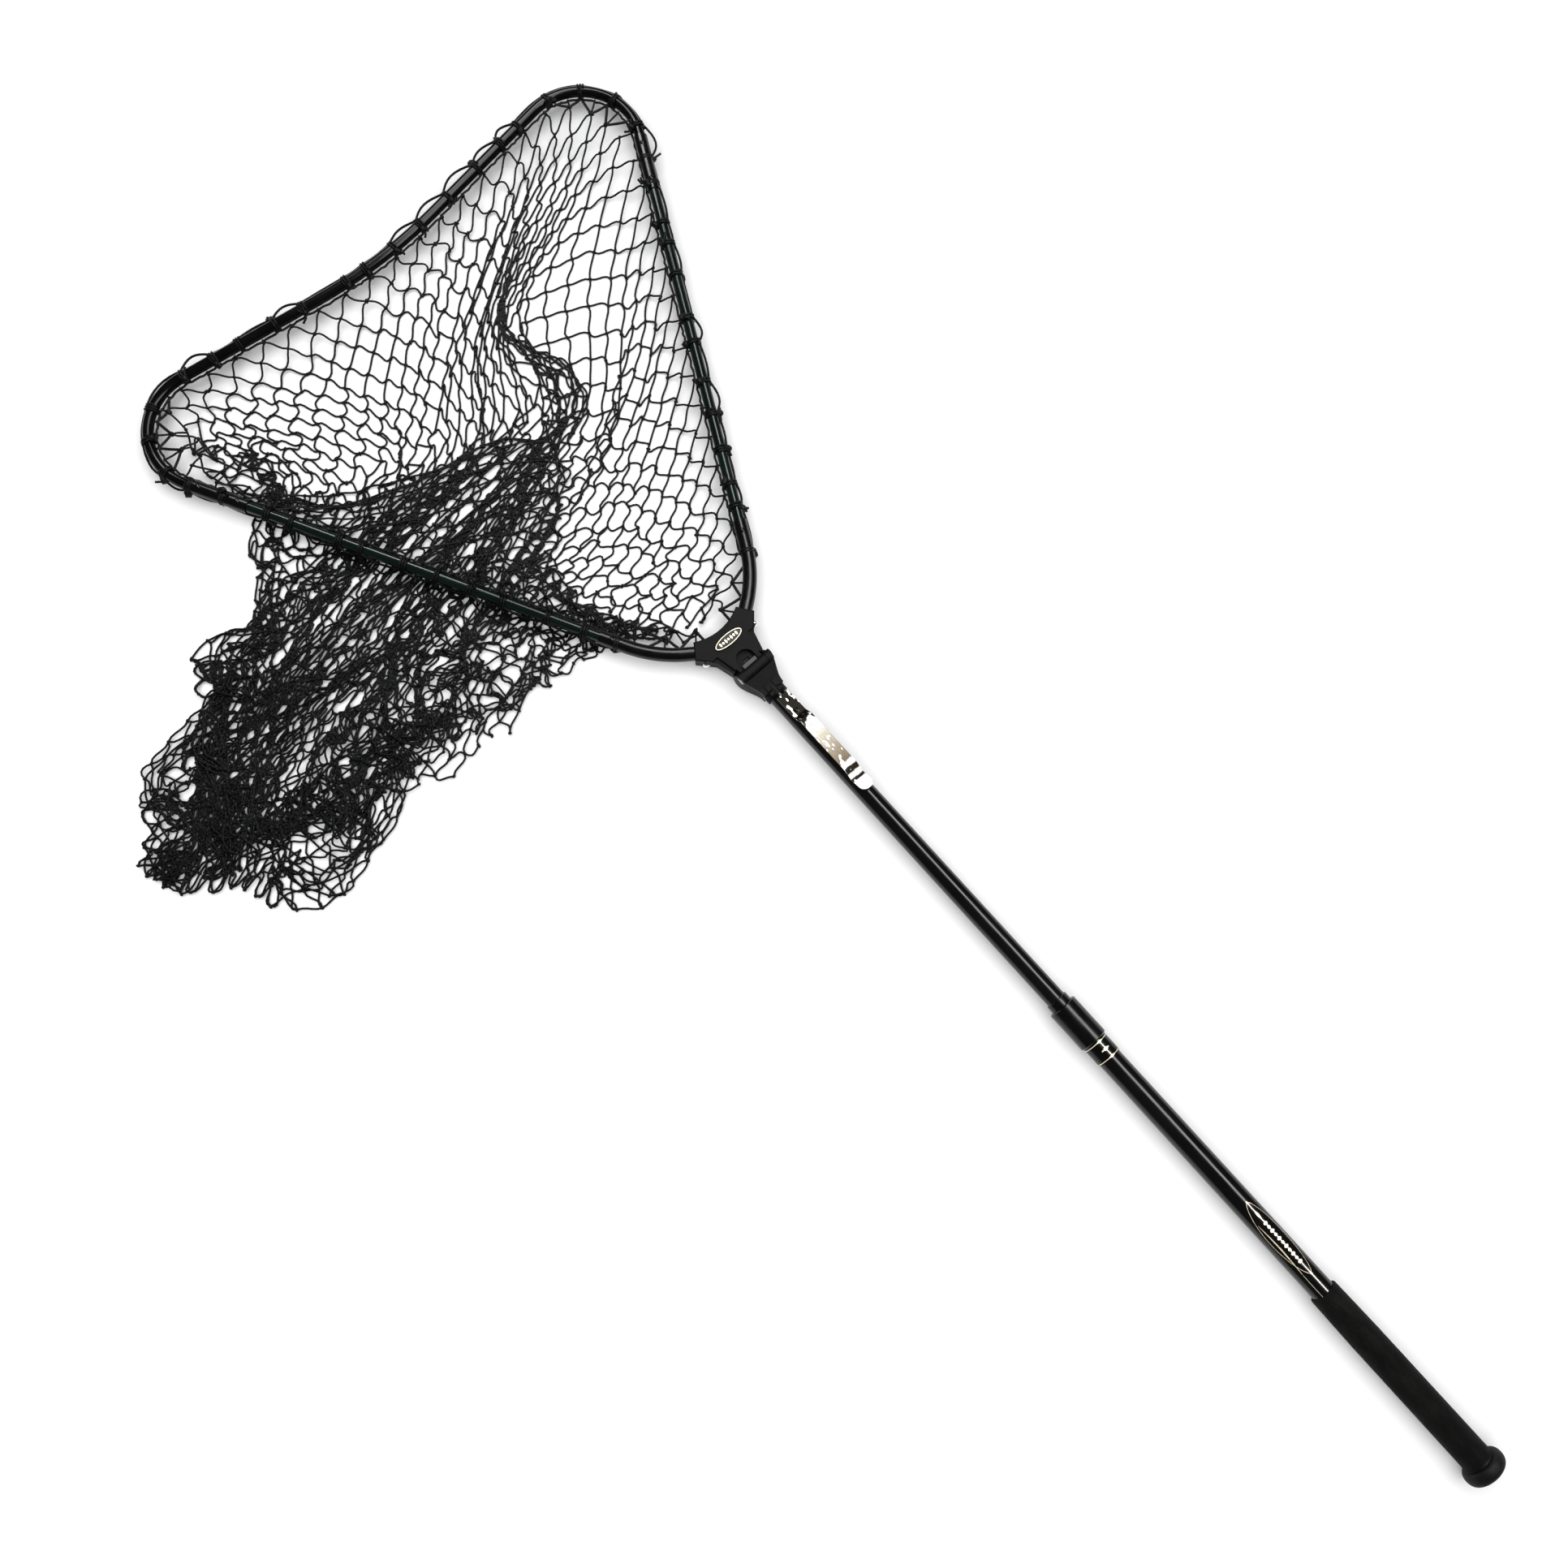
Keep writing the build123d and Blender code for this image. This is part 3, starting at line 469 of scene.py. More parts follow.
def cordTree():
    tree = bpy.data.node_groups.new("cordsAndKnots", "GeometryNodeTree")
    face = tree.interface
    face.new_socket("Geometry", in_out="INPUT", socket_type="NodeSocketGeometry")
    for label, kind in (("Radius", "NodeSocketFloat"), ("Sides", "NodeSocketInt"),
                        ("Knot Size", "NodeSocketFloat"), ("Seed", "NodeSocketInt"),
                        ("Material", "NodeSocketMaterial")):
        face.new_socket(label, in_out="INPUT", socket_type=kind)
    face.new_socket("Geometry", in_out="OUTPUT", socket_type="NodeSocketGeometry")
    given = addNode(tree, "NodeGroupInput").outputs
    curve = addNode(tree, "GeometryNodeMeshToCurve", {"Mesh": given["Geometry"]})
    length = addNode(tree, "GeometryNodeSplineParameter").outputs["Length"]
    marked = addNode(tree, "GeometryNodeStoreNamedAttribute",
                     {"Geometry": curve.outputs[0], "Name": "along", "Value": length},
                     data_type="FLOAT", domain="POINT")
    ring = addNode(tree, "GeometryNodeCurvePrimitiveCircle",
                   {"Resolution": given["Sides"], "Radius": given["Radius"]})
    factor = addNode(tree, "GeometryNodeSplineParameter").outputs["Factor"]
    ringMarked = addNode(tree, "GeometryNodeStoreNamedAttribute",
                         {"Geometry": ring.outputs[0], "Name": "around", "Value": factor},
                         data_type="FLOAT", domain="POINT")
    tube = addNode(tree, "GeometryNodeCurveToMesh",
                   {"Curve": marked.outputs[0], "Profile Curve": ringMarked.outputs[0], "Fill Caps": True})
    lump = addNode(tree, "GeometryNodeMeshUVSphere",
                   {"Segments": 6, "Rings": 5, "Radius": given["Knot Size"]})
    isKnot = addNode(tree, "GeometryNodeInputNamedAttribute", {"Name": "isKnot"}, data_type="BOOLEAN")
    turn = addNode(tree, "FunctionNodeRandomValue",
                   {0: (0, 0, 0), 1: (6.28, 6.28, 6.28), "Seed": given["Seed"]}, data_type="FLOAT_VECTOR")
    size = addNode(tree, "FunctionNodeRandomValue",
                   {0: (1.15, 0.75, 0.7), 1: (1.6, 1.1, 1.0), "Seed": given["Seed"]},
                   data_type="FLOAT_VECTOR")
    knots = addNode(tree, "GeometryNodeInstanceOnPoints",
                    {"Points": given["Geometry"], "Selection": isKnot.outputs["Attribute"],
                     "Instance": lump.outputs[0], "Rotation": turn.outputs[0], "Scale": size.outputs[0]})
    joined = addNode(tree, "GeometryNodeJoinGeometry")
    tree.links.new(knots.outputs[0], joined.inputs[0])
    tree.links.new(tube.outputs[0], joined.inputs[0])
    real = addNode(tree, "GeometryNodeRealizeInstances", {0: joined.outputs[0]})
    smooth = addNode(tree, "GeometryNodeSetShadeSmooth", {0: real.outputs[0]})
    painted = addNode(tree, "GeometryNodeSetMaterial",
                      {"Geometry": smooth.outputs[0], "Material": given["Material"]})
    addNode(tree, "NodeGroupOutput", {0: painted.outputs[0]})
    return tree


cords = cordTree()


def setInput(modifier, label, value):
    socket = next(s for s in modifier.node_group.interface.items_tree
                  if s.name == label and s.in_out == "INPUT")
    modifier[socket.identifier] = value


def makeCords(name, strands, knots, radius, sides, knotSize, seed, material):
    # strands are runs of points that become round cords; knots are single points that become lumps
    counts = [len(s) for s in strands]
    points = np.concatenate([np.concatenate(strands), np.asarray(knots, float).reshape(-1, 3)])
    starts = np.r_[0, np.cumsum(counts)]
    edges = np.concatenate([np.stack([np.arange(a, a + n - 1), np.arange(a + 1, a + n)], 1)
                            for a, n in zip(starts[:-1], counts)])
    mesh = bpy.data.meshes.new(name)
    mesh.vertices.add(len(points))
    mesh.vertices.foreach_set("co", points.astype(np.float32).ravel())
    mesh.edges.add(len(edges))
    mesh.edges.foreach_set("vertices", edges.astype(np.int32).ravel())
    flag = mesh.attributes.new("isKnot", "BOOLEAN", "POINT")
    flag.data.foreach_set("value", np.arange(len(points)) >= starts[-1])
    mesh.update()
    piece = bpy.data.objects.new(name, mesh)
    bpy.context.scene.collection.objects.link(piece)
    modifier = piece.modifiers.new("cords", "NODES")
    modifier.node_group = cords
    for label, value in (("Radius", radius), ("Sides", sides), ("Knot Size", knotSize), ("Seed", seed),
                         ("Material", material)):
        setInput(modifier, label, value)
    graph = bpy.context.evaluated_depsgraph_get()
    solid = bpy.data.meshes.new_from_object(piece.evaluated_get(graph))
    piece.modifiers.clear()
    piece.data = solid
    bpy.data.meshes.remove(mesh)
    solid.name = name
    print("made", name, len(solid.polygons), "faces")
    return piece


# ---- the netting: a tapered knotted bag, drawn out to one side and lying folded on the floor

netting = {
    "columns": 58, "rows": 44, "bar": 0.0272, "twineRadius": 0.00122, "knotSize": 0.0022,
    "hangerTop": -0.003, "hangerMiddle": -0.0045, "twineSides": 5, "bellyRow": 14, "endRow": 29,
    # the tied columns are those at the hoop's two front corners and beside the yoke
    "tieRadius": 0.0017, "tieKnot": 0.0030, "tieSpread": 0.009, "tieSides": 6,
    "tied": [0, 1, 18, 19, 20, 37, 38, 39, 56, 57],
    "slackPlaces": (0.0, 0.32, 0.68, 1.0), "slackWidth": 0.03, "stepsPerBar": 6,
    "rimInset": 0.0095, "cornerInset": 0.020, "pleat": 0.019, "crumple": 0.009, "relaxSteps": 420,
    "hold": 0.050, "evenness": 0.12, "strandCurl": 0.85, "knotTwist": 0.20, "seed": 7,
    # where each column of meshes passes, from the yoke's right side round the hoop to its left side:
    # the first folds inside the hoop, the turn back under the left arm, the narrow part beyond the arm,
    # the bag's end and its gathered middle, each as (share of the hoop, x from the hinge pin, y)
    "folds": [(0.00, 0.142, 0.100), (0.07, 0.198, 0.100), (0.11, 0.243, 0.132), (0.15, 0.283, 0.053),
              (0.19, 0.322, -0.029), (0.225, 0.370, -0.086), (0.25, 0.450, -0.070), (0.28, 0.528, -0.056),
              (0.36, 0.528, -0.050), (0.40, 0.500, -0.020), (0.45, 0.480, 0.030), (0.50, 0.460, 0.090),
              (0.56, 0.470, 0.150), (0.60, 0.490, 0.200), (0.64, 0.530, 0.240), (0.67, 0.552, 0.245),
              (0.715, 0.520, 0.262), (0.735, 0.480, 0.245), (0.75, 0.440, 0.215), (0.77, 0.420, 0.110),
              (0.80, 0.405, 0.000), (0.825, 0.370, -0.080), (0.86, 0.310, 0.000), (0.91, 0.260, 0.100),
              (0.96, 0.200, 0.100), (1.00, 0.142, 0.105)],
    "turn": [(0.00, 0.155, 0.200), (0.11, 0.250, 0.200), (0.15, 0.280, 0.160), (0.19, 0.310, 0.080),
             (0.225, 0.345, 0.000), (0.28, 0.370, -0.082), (0.34, 0.374, -0.078), (0.40, 0.405, 0.000),
             (0.50, 0.418, 0.100), (0.56, 0.440, 0.170), (0.60, 0.445, 0.220), (0.64, 0.460, 0.320),
             (0.71, 0.440, 0.330), (0.75, 0.400, 0.250), (0.82, 0.330, 0.120), (0.86, 0.290, 0.140),
             (0.91, 0.250, 0.190), (1.00, 0.150, 0.200)],
    "waist": [(0.00, 0.168, 0.333), (0.06, 0.175, 0.310), (0.12, 0.200, 0.320), (0.20, 0.250, 0.330),
              (0.28, 0.290, 0.340), (0.40, 0.340, 0.390), (0.50, 0.350, 0.410), (0.58, 0.360, 0.400),
              (0.64, 0.400, 0.380), (0.68, 0.400, 0.400), (0.72, 0.360, 0.400), (0.79, 0.310, 0.360),
              (0.86, 0.250, 0.340), (1.00, 0.172, 0.335)],
    "end": [(0.00, 0.220, 0.442), (0.05, 0.190, 0.440), (0.10, 0.150, 0.430), (0.18, 0.155, 0.497),
            (0.28, 0.193, 0.576), (0.38, 0.227, 0.618), (0.48, 0.285, 0.622), (0.56, 0.325, 0.608),
            (0.64, 0.340, 0.540), (0.70, 0.367, 0.478), (0.76, 0.335, 0.490), (0.82, 0.280, 0.570),
            (0.88, 0.230, 0.550), (1.00, 0.222, 0.446)],
    "gather": [(0.00, 0.215, 0.460), (0.25, 0.240, 0.530), (0.50, 0.255, 0.570), (0.75, 0.250, 0.550),
               (1.00, 0.215, 0.480)],
}


def smoothRandom(shape, passes, seed):
    field = np.random.default_rng(seed).normal(size=shape + (2,))
    for axis, count in enumerate(passes):
        for _ in range(count):
            field = (np.roll(field, 1, axis) + 2 * field + np.roll(field, -1, axis)) / 4
    return field / field.std()


def wayPoints(keys, shares):
    keys = np.array(keys)
    return np.stack([hinge.x + np.interp(shares, keys[:, 0], keys[:, 1]),
                     np.interp(shares, keys[:, 0], keys[:, 2])], -1)


def layOut(values=netting):
    # every knot's first place: along its column's path, with soft pleats where the bag is loose
    columns, rows = values["columns"], values["rows"]
    shares = (np.arange(columns) + 0.5) / columns
    slackCorners = sum(np.exp(-((shares - place) / values["slackWidth"]) ** 2)
                       for place in values["slackPlaces"])
    stops = [onHoop(shares, values["rimInset"] + values["cornerInset"] * slackCorners)]
    stops += [wayPoints(values[key], shares) for key in ("folds", "turn", "waist", "end", "gather")]
    depth = np.linspace(0, 1, rows)
    knots = np.stack([lineAt([stop[c] for stop in stops], depth) for c in range(columns)], 1)
    odd = np.arange(rows) % 2 == 1
    knots[odd, :-1] = (knots[odd, :-1] + knots[odd, 1:]) / 2
    loose = np.clip((depth - 0.30) * 3, 0, 1)[:, None, None]
    knots += smoothRandom((rows, columns), (6, 2), values["seed"]) * values["pleat"] * loose
    crumple = smoothRandom((rows, columns), (1, 1), values["seed"] + 1) * values["crumple"]
    return knots + crumple * np.clip(depth * 2.5 - 0.1, 0, 1)[:, None, None]


def nextColumn(row):
    return -1 if row % 2 == 0 else 1


def thin(points, cell):
    # a small push from crowded places to emptier ones
    low = points.min(0) - 4 * cell
    count = np.ceil((points.max(0) + 4 * cell - low) / cell).astype(int)
    place = (points - low) / cell
    index = place.astype(int)
    crowd = np.zeros(count)
    np.add.at(crowd, (index[:, 0], index[:, 1]), 1.0)
    for axis in (0, 1, 0, 1):
        crowd = (np.roll(crowd, 1, axis) + 2 * crowd + np.roll(crowd, -1, axis)) / 4
    slope = np.stack(np.gradient(crowd), -1)[index[:, 0], index[:, 1]]
    return -slope / (crowd[index[:, 0], index[:, 1]][:, None] + 1) * cell


def settle(knots, values=netting):
    # each bar is drawn back to the twine's length, and meshes that are pressed flat open again
    home, steps = knots.copy(), values["relaxSteps"]
    pairs = []
    for row in range(values["rows"] - 1):
        for shift in (0, nextColumn(row)):
            first = np.arange(values["columns"])
            second = first + shift
            keep = (second >= 0) & (second < values["columns"])
            pairs.append(np.stack([row * values["columns"] + first[keep],
                                   (row + 1) * values["columns"] + second[keep]], 1))
    pairs = np.concatenate(pairs)
    flat = knots.reshape(-1, 2).copy()
    homeFlat = home.reshape(-1, 2)
    rimCount = values["columns"]
    touched = np.bincount(pairs.ravel(), minlength=len(flat))[:, None]
    rowPairs = np.array([(r * rimCount + c, r * rimCount + c + 1)
                         for r in range(1, values["rows"]) for c in range(rimCount - 1)])
    apart = np.linalg.norm(homeFlat[rowPairs[:, 1]] - homeFlat[rowPairs[:, 0]], axis=1, keepdims=True)
    apart = np.clip(apart, 0.15 * values["bar"], 0.75 * values["bar"])
    for step in range(steps):
        gap = flat[pairs[:, 1]] - flat[pairs[:, 0]]
        length = np.linalg.norm(gap, axis=1, keepdims=True) + 1e-9
        target = np.clip(length, 0.65 * values["bar"], values["bar"])
        move = np.where(length > target, 0.5, 0.35) * (length - target) * gap / length
        shift = np.zeros_like(flat)
        for k in (0, 1):
            shift[:, k] += np.bincount(pairs[:, 0], move[:, k], len(flat))
            shift[:, k] -= np.bincount(pairs[:, 1], move[:, k], len(flat))
        gap = flat[rowPairs[:, 1]] - flat[rowPairs[:, 0]]
        length = np.linalg.norm(gap, axis=1, keepdims=True) + 1e-9
        move = np.minimum(length - apart, 0) * 0.15 * gap / length
        for k in (0, 1):
            shift[:, k] += np.bincount(rowPairs[:, 0], move[:, k], len(flat))
            shift[:, k] -= np.bincount(rowPairs[:, 1], move[:, k], len(flat))
        if step % 4 == 0:
            spreadOut = thin(flat[rimCount * 8:], values["bar"] * 0.5) * values["evenness"]
            shift[rimCount * 8:] += spreadOut * touched[rimCount * 8:]
        flat += 1.2 * shift / touched + (homeFlat - flat) * values["hold"] * (1 - 0.85 * step / steps)
        flat[:rimCount] = homeFlat[:rimCount]
    return flat.reshape(knots.shape), pairs


def liftKnots(knots, values=netting):
    # height above the floor: down from the tube in three rows, then in layers that cross over each other
    rows, columns = knots.shape[:2]
    depth = np.linspace(0, 1, rows)[:, None]
    share = (np.arange(columns) + 0.5)[None, :] / columns
    upper = np.clip((share - 0.66) / 0.05, 0, 1)
    heap = np.clip((depth - 0.25) * 2.5, 0, 1)
    waves = smoothRandom((rows, columns), (2, 2), values["seed"] + 2)[..., 0]
    height = 0.0018 + 0.0022 * upper + heap * (0.0022 + 0.0016 * np.clip(waves, -1.3, 2.2))
    fromTube = np.clip(1 - np.arange(rows) / 2.5, 0, 1)[:, None]
    return floorZ + np.clip(height, 0.0012, 0.0090) + fromTube * (-0.0065 - floorZ)


def curvedBars(knots, pairs, values=netting):
    # each bar leaves its knots at a slant, so a run of bars waves as knotted twine does
    flat = knots.reshape(-1, 3)
    rows, columns = knots.shape[:2]
    across = np.gradient(knots[..., :2], axis=1).reshape(-1, 2)
    across /= np.linalg.norm(across, axis=1)[:, None] + 1e-9
    twist = smoothRandom((rows, columns), (3, 3), values["seed"] + 3)[..., 0] * 0.30 + values["knotTwist"]
    twist += np.random.default_rng(values["seed"]).normal(size=(rows, columns)) * 0.16
    twist = twist.ravel()
    start, end = flat[pairs[:, 0]], flat[pairs[:, 1]]
    chord = end - start
    length = np.linalg.norm(chord[:, :2], axis=1, keepdims=True) + 1e-9
    unit = chord[:, :2] / length
    sign = np.where(pairs[:, 1] % columns != pairs[:, 0] % columns, 1.0, -1.0)
    evenRow = (pairs[:, 0] // columns) % 2 == 0
    sign = np.where(evenRow, -sign, sign)[:, None]
    slack = np.clip(1 - length[:, 0] / values["bar"], 0, 0.9)
    bulge = np.random.default_rng(values["seed"] + 4).choice([-1.0, 1.0], len(pairs)) * slack * 2.0

    def leave(knot, turn):
        base = unit + values["strandCurl"] * sign * across[knot]
        base /= np.linalg.norm(base, axis=1)[:, None] + 1e-9
        c, s = np.cos(turn), np.sin(turn)
        return np.stack([base[:, 0] * c - base[:, 1] * s, base[:, 0] * s + base[:, 1] * c], 1)

    reach = values["bar"] * 0.40
    first = leave(pairs[:, 0], twist[pairs[:, 0]] + bulge) * reach
    second = leave(pairs[:, 1], twist[pairs[:, 1]] - bulge) * reach
    t = np.linspace(0, 1, values["stepsPerBar"])[None, :, None]
    a, d = start[:, None, :2], end[:, None, :2]
    b, c = a + first[:, None, :], d - second[:, None, :]
    line = (1 - t) ** 3 * a + 3 * (1 - t) ** 2 * t * b + 3 * (1 - t) * t * t * c + t ** 3 * d
    rise = start[:, None, 2:] * (1 - t) + end[:, None, 2:] * t
    return np.concatenate([line, rise], 2)


def hanger(foot, knot, values=netting):
    # a short cord from the hoop's inner side down to a knot of the first row
    return np.array([(*foot, values["hangerTop"]), (*(foot + knot[:2]) / 2, values["hangerMiddle"]), knot])


def makeNetting(values=netting):
    plan, pairs = settle(layOut())
    knots = np.concatenate([plan, liftKnots(plan)[..., None]], 2)
    bars = curvedBars(knots, pairs)
    rowOf = pairs[:, 0] // values["columns"]
    feet = onHoop((np.arange(values["columns"]) + 0.5) / values["columns"], hoopValues["tubeRadius"])
    hangers = [hanger(foot, knot) for foot, knot in zip(feet, knots[0])]
    pieces = []
    for name, firstRow, lastRow in (("netMouth", 0, values["bellyRow"]),
                                    ("netBelly", values["bellyRow"], values["endRow"]),
                                    ("netEnd", values["endRow"], values["rows"])):
        chosen = bars[(rowOf >= firstRow) & (rowOf < lastRow)]
        lumps = knots[firstRow:lastRow].reshape(-1, 3)
        piece = makeCords(name, list(chosen) + (hangers if firstRow == 0 else []), lumps,
                          values["twineRadius"], values["twineSides"], values["knotSize"],
                          values["seed"], twine)
        pieces.append(piece)
    return pieces, knots


def makeCornerTies(knots, values=netting):
    # short thick cords, two to a knot, hold the mouth at the hoop's corners and beside the yoke
    strands = []
    for column in values["tied"]:
        share, knot = (column + 0.5) / values["columns"], knots[0, column]
        feet = onHoop(np.array([share - values["tieSpread"], share + values["tieSpread"]]),
                      hoopValues["tubeRadius"])
        strands += [hanger(foot, knot) for foot in feet]
    return makeCords("cornerTies", strands, knots[0, values["tied"]], values["tieRadius"],
                     values["tieSides"], values["tieKnot"], values["seed"], twine)


twine = twineNylon("twineNylon", netting["twineRadius"])
netPieces, netKnots = makeNetting()
netPieces.append(makeCornerTies(netKnots))
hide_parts("net_bag")
for piece in netPieces:
    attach(piece, "head")


# ---- lashing: turns of cord round the tubes, the running cord between them, knots and cut ends

lashing = {
    "cordRadius": 0.0014, "pitch": 0.042, "jitter": 0.009, "turns": 2.3, "turnPitch": 0.0030,
    "loopOut": (0.002, 0.013), "endLength": (0.006, 0.012), "knotSize": 0.0042, "seed": 12,
    "firstShare": 0.045, "lastShare": 0.955, "bowShares": (0.34, 0.66), "pointsPerTurn": 10,
    "knotLift": 0.0015, "knotScatter": 0.0012, "loopPoints": 9, "sides": 7,
}


def tubePoint(share, angle, radius):
    # a point round the tube: angle 0 is straight inward, 90 degrees is up
    base = onHoop(share, radius * np.cos(angle))
    return np.concatenate([base, (radius * np.sin(angle))[..., None]], -1)


def makeLashing(values=lashing):
    rng = np.random.default_rng(values["seed"])
    r = hoopValues["tubeRadius"] + values["cordRadius"]
    places = np.arange(values["firstShare"] * hoopLength, values["lastShare"] * hoopLength,
                       values["pitch"])
    places = (places + rng.uniform(-1, 1, len(places)) * values["jitter"]) / hoopLength
    strands, lumps = [], []
    for share in places:
        count = int(values["pointsPerTurn"] * values["turns"])
        angle = np.linspace(0, 2 * math.pi * values["turns"], count) + rng.uniform(0, 6.28)
        slide = np.linspace(-0.5, 0.5, count) * values["turns"] * values["turnPitch"] / hoopLength
        strands.append(tubePoint(share + slide, angle, np.full(count, r)))
        side = rng.choice([0.0, math.pi]) + rng.uniform(0.1, 0.9)
        knot = tubePoint(np.array([share]), np.array([side]), np.array([r + values["knotLift"]]))[0]
        lumps += [knot, knot + rng.normal(size=3) * values["knotScatter"]]
        for _ in range(2):
            lean = np.array([*rng.uniform(-1, 1, 2), rng.uniform(0.0, 0.5)])
            end = knot + lean * rng.uniform(*values["endLength"])
            middle = (knot + end) / 2 + rng.normal(size=3) * values["knotScatter"]
            strands.append(np.array([knot, middle, end]))
    for a, b in zip(places[:-1], places[1:]):
        onBow = values["bowShares"][0] < (a + b) / 2 < values["bowShares"][1]
        # the bow's loops hang out in full, as do some on the right arm; the others lie close
        out = rng.uniform(*values["loopOut"]) * (1.0 if onBow or (a < 0.3 and rng.random() < 0.4) else 0.25)
        t = np.linspace(0, 1, values["loopPoints"])
        share = a + (b - a) * t
        base = onHoop(share, -(r * 0.8 + out * np.sin(math.pi * t)))
        height = 0.002 - 0.006 * np.sin(math.pi * t)
        strands.append(np.concatenate([base, height[:, None]], 1))
        inner = onHoop(share, r + 0.0015 * np.sin(3 * math.pi * t) ** 2)
        strands.append(np.concatenate([inner, (-0.002 - 0.0015 * np.sin(math.pi * t))[:, None]], 1))
    return makeCords("lashingCord", strands, lumps, values["cordRadius"], values["sides"],
                     values["knotSize"], values["seed"], lashCord)


lashCord = twineNylon("lashCord", lashing["cordRadius"])
lashPiece = makeLashing()
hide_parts("lashing")
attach(lashPiece, "head")


# ---- latch spring: a copy of the spring's mesh with its doubled points welded, riding with the head

latchCoil = {"travel": 0.006, "weld": 0.000001}


def makeLatchCoil(values=latchCoil):
    source = nodes["latch_spring"]
    mesh = source.data.copy()
    mesh.name = "latchCoil"
    mesh.transform(source.matrix_world)
    form = bmesh.new()
    form.from_mesh(mesh)
    bmesh.ops.remove_doubles(form, verts=form.verts, dist=values["weld"])
    form.to_mesh(mesh)
    form.free()
    piece = bpy.data.objects.new("latchCoil", mesh)
    bpy.context.scene.collection.objects.link(piece)
    return piece


coilPiece = makeLatchCoil()
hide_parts("latch_spring")
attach(coilPiece, "head")
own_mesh(coilPiece)
print("latch coil made")


# ---- foil printing: a long pointed outline on the grip tube, rings on the band, a ring on the badge

foil = {
    "lensStart": 0.2606, "lensEnd": 0.3540, "topTurn": -5.5, "lensUp": -0.0112, "lensDown": 0.0102,
    "thickness": 0.00010, "lift": 0.00004, "line": 0.00028,
    "layerLift": 0.000004, "lensTail": 0.024, "lensMarks": (0.3265, 0.2765), "lensMarkCount": 11,
    "lensTip": 0.3374, "underLine": [(0.3290, 0.0064), (0.3130, 0.0057), (0.2978, 0.0053),
                                     (0.2800, 0.0058), (0.2644, 0.0066)],
    "sideLine": (0.2360, 0.2640), "sideLineTurn": 0.0067,
}


def onCylinder(radius):
    # u runs along the handle, v round the tube from its top towards the bag's side
    def place(u, v, lift):
        angle = v / radius
        return u, (radius + lift) * math.sin(angle), (radius + lift) * math.cos(angle)
    return place


def strip(points, halfWidths):
    return [(u, v, w) for (u, v), w in zip(points, np.broadcast_to(halfWidths, len(points)))]


def lozenge(u, v, halfLength, halfWidth, power=1.0, steps=11):
    t = np.linspace(-1, 1, steps)
    widths = np.maximum(1 - np.abs(t) ** (1 + power), 0.02) ** (0.5 + 0.5 / power) * halfWidth
    return strip([(u + halfLength * k, v) for k in t], widths)


def foilPiece(name, shapes, place, values=foil):
    across = (-1, -0.5, 0, 0.5, 1)
    points, faces = [], []
    for layer, shape in enumerate(shapes):
        line = np.array(shape, float)
        along = np.gradient(line[:, :2], axis=0)
        along /= np.linalg.norm(along, axis=1)[:, None]
        for side in (values["lift"] + layer * values["layerLift"], values["lift"] - values["thickness"]):
            first = len(points)
            for (u, v, w), (du, dv) in zip(line, along):
                points += [place(u - dv * w * k, v + du * w * k, side) for k in across]
            for i in range(len(line) - 1):
                for j in range(4):
                    a = first + i * 5 + j
                    quad = (a, a + 1, a + 6, a + 5)
                    faces.append(quad if side > 0 else quad[::-1])
        count = len(line) * 5
        top, bottom = first - count, first
        rim = [i * 5 for i in range(len(line))] + [count - 5 + j for j in range(1, 5)]
        rim += [i * 5 + 4 for i in reversed(range(len(line) - 1))] + [j for j in (3, 2, 1)]
        for a, b in zip(rim, rim[1:] + rim[:1]):
            faces.append((top + a, top + b, bottom + b, bottom + a))
    mesh = bpy.data.meshes.new(name)
    mesh.from_pydata(points, [], faces)
    made = bmesh.new()
    made.from_mesh(mesh)
    bmesh.ops.recalc_face_normals(made, faces=made.faces)
    made.to_mesh(mesh)
    made.free()
    mesh.materials.append(gold)
    piece = bpy.data.objects.new(name, mesh)
    bpy.context.scene.collection.objects.link(piece)
    return piece


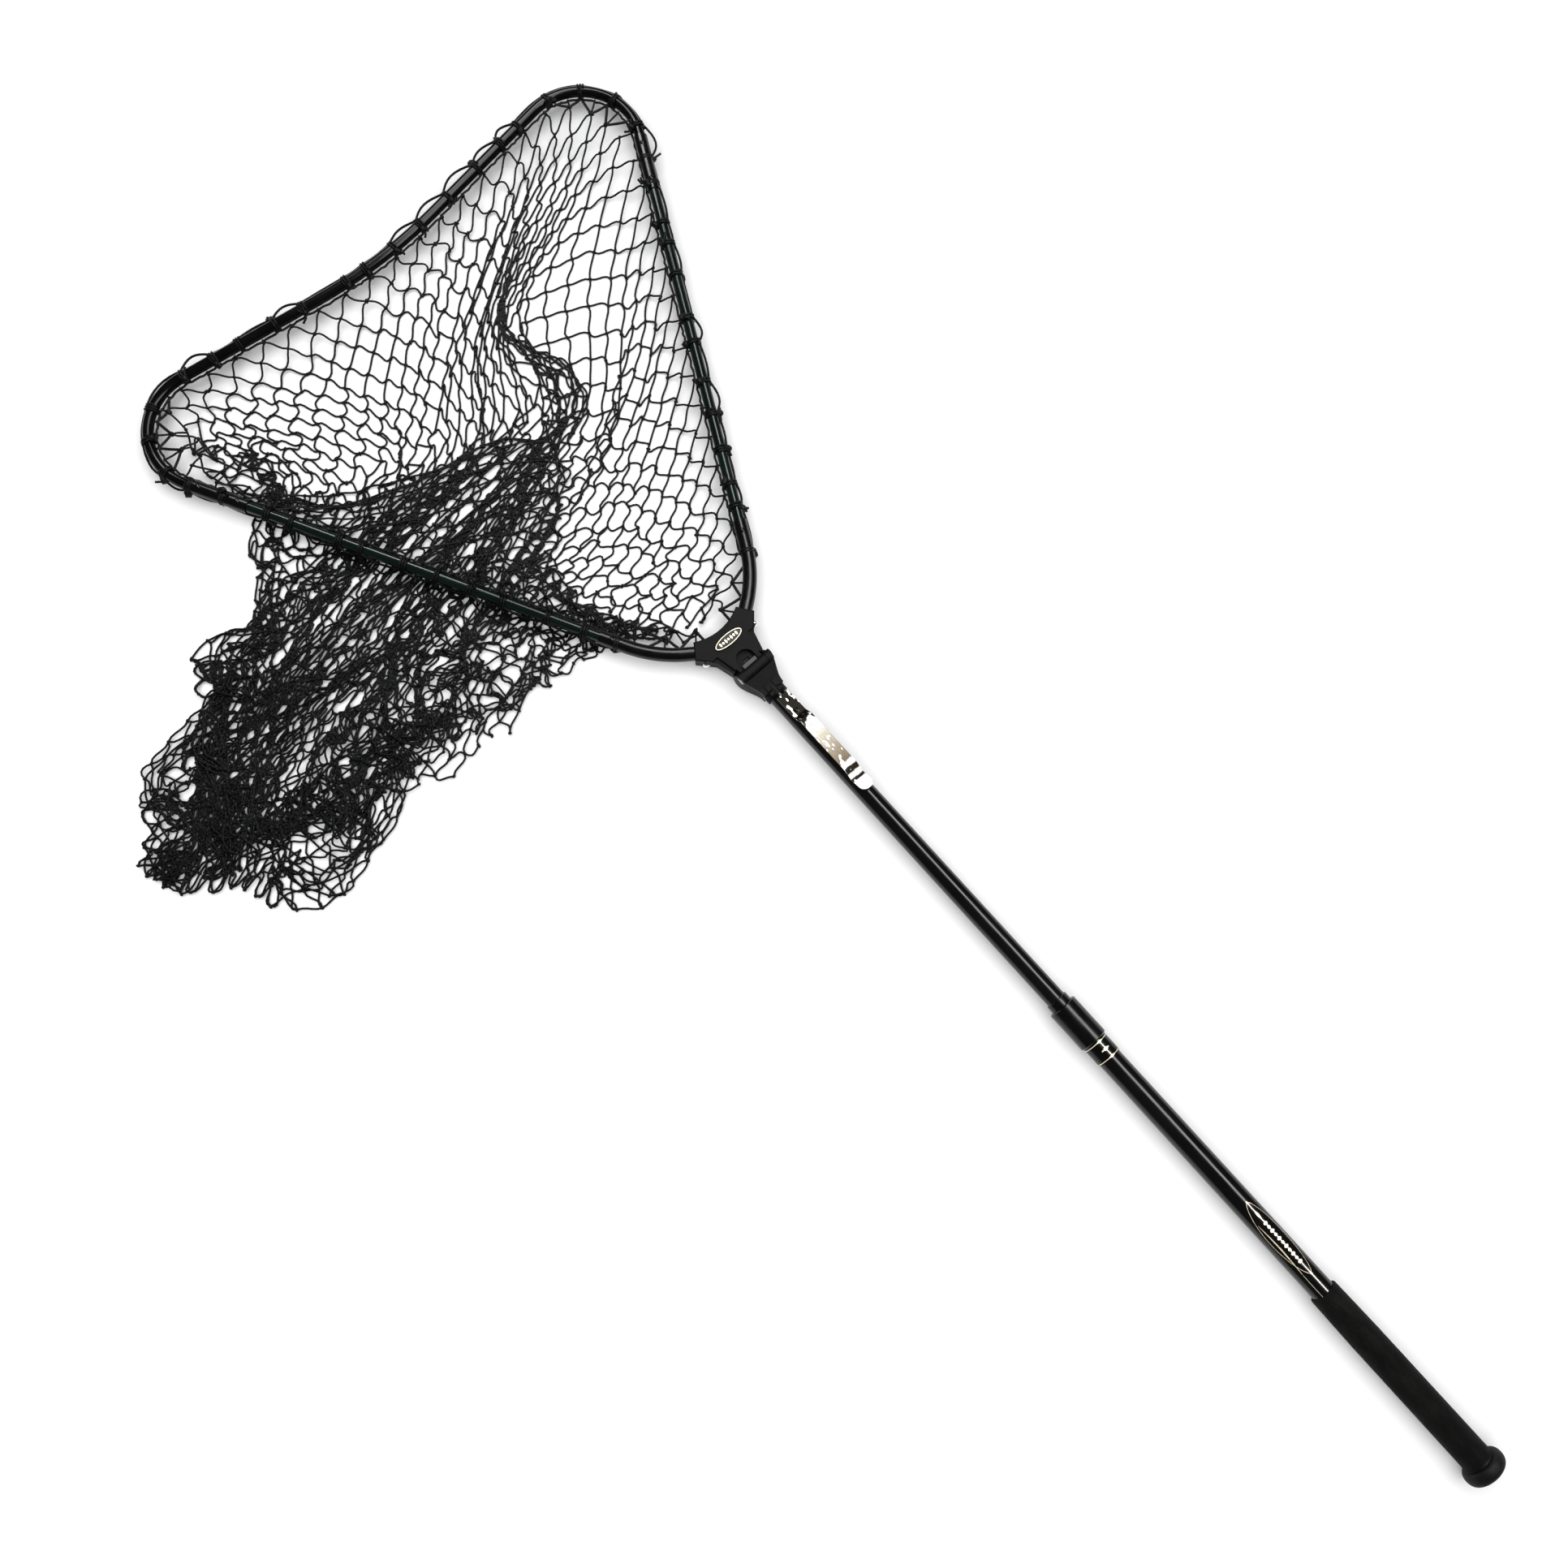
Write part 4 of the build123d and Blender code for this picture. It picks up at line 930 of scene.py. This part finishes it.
def lensFoil(values=foil):
    radius = (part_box("outer_tube")[1].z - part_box("outer_tube")[0].z) / 2
    middle = math.radians(values["topTurn"]) * radius
    start, end = values["lensStart"], values["lensEnd"]
    t = np.linspace(0, 1, 40)
    bow = np.sin(math.pi * t) ** 0.62
    thin = values["line"]
    shapes = []
    for side in (values["lensUp"], values["lensDown"]):
        edge = [(start + (end - start) * k, middle + (side - middle) * b) for k, b in zip(t, bow)]
        shapes.append(strip(edge, thin * 0.8))
    shapes.append(strip([(u, middle) for u in np.linspace(start - values["lensTail"], end, 30)], thin))
    shapes += [lozenge(start, middle, 0.0014, 0.0009), lozenge(end, middle, 0.0014, 0.0009),
               lozenge(values["lensTip"], middle, 0.0052, 0.0013)]
    for k, u in enumerate(np.linspace(*values["lensMarks"], values["lensMarkCount"])):
        shapes.append(lozenge(u, middle, 0.0020, 0.0025 - 0.0008 * (k % 2)))
    taper = np.sin(math.pi * np.linspace(0, 1, 21))
    shapes.append(strip(lineAt(values["underLine"], np.linspace(0, 1, 21)), 0.00015 + 0.0005 * taper))
    shapes.append(strip([(u, values["sideLineTurn"]) for u in np.linspace(*values["sideLine"], 12)],
                        thin * 0.7))
    return foilPiece("lensFoil", shapes, onCylinder(radius))


def bandFoil(values=foil):
    low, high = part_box("decor_band")
    radius = (high.z - low.z) / 2
    middle = math.radians(values["topTurn"]) * radius
    aroundBand = np.linspace(-math.pi * radius, math.pi * radius, 121)
    swell = np.exp(-((aroundBand - middle) / 0.0024) ** 2)
    shapes = []
    for u in (low.x + 0.0013, high.x - 0.0013):
        shapes.append(strip([(u, v) for v in aroundBand], 0.00040 + 0.0008 * swell))
        shapes.append(lozenge(u, middle, 0.0013, 0.0019, 3.0))
    centre = (low.x + high.x) / 2
    shapes.append(strip([(u, middle) for u in np.linspace(low.x + 0.002, high.x - 0.002, 9)],
                        values["line"]))
    shapes.append(lozenge(centre, middle, 0.0019, 0.0026, 3.0))
    shapes.append(lozenge(centre, middle + 0.0042, 0.0009, 0.0013, 3.0))
    shapes.append(lozenge(centre, middle - 0.0035, 0.0008, 0.0012, 3.0))
    return foilPiece("bandFoil", shapes, onCylinder(radius))


def badgeFoil(values=foil):
    low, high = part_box("yoke_badge")
    centre = (low + high) / 2
    halfX, halfY = (high.x - low.x) / 2 - 0.0013, (high.y - low.y) / 2 - 0.0013
    angles = np.linspace(0, 2 * math.pi, 73)
    ring = [(centre.y + halfY * math.cos(a), centre.x + halfX * math.sin(a)) for a in angles]
    shapes = [strip(ring, 0.00034)]
    for k, y in enumerate(np.linspace(-0.0112, 0.0112, 7)):
        shapes.append(lozenge(centre.y + y, centre.x, 0.0014, 0.0024 - 0.0008 * (k % 2)))
    return foilPiece("badgeFoil", shapes, lambda u, v, lift: (v, u, high.z + lift))


for piece, body in ((lensFoil(), "grip_section"), (bandFoil(), "grip_section"), (badgeFoil(), "head")):
    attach(piece, body)
print("foil printed")
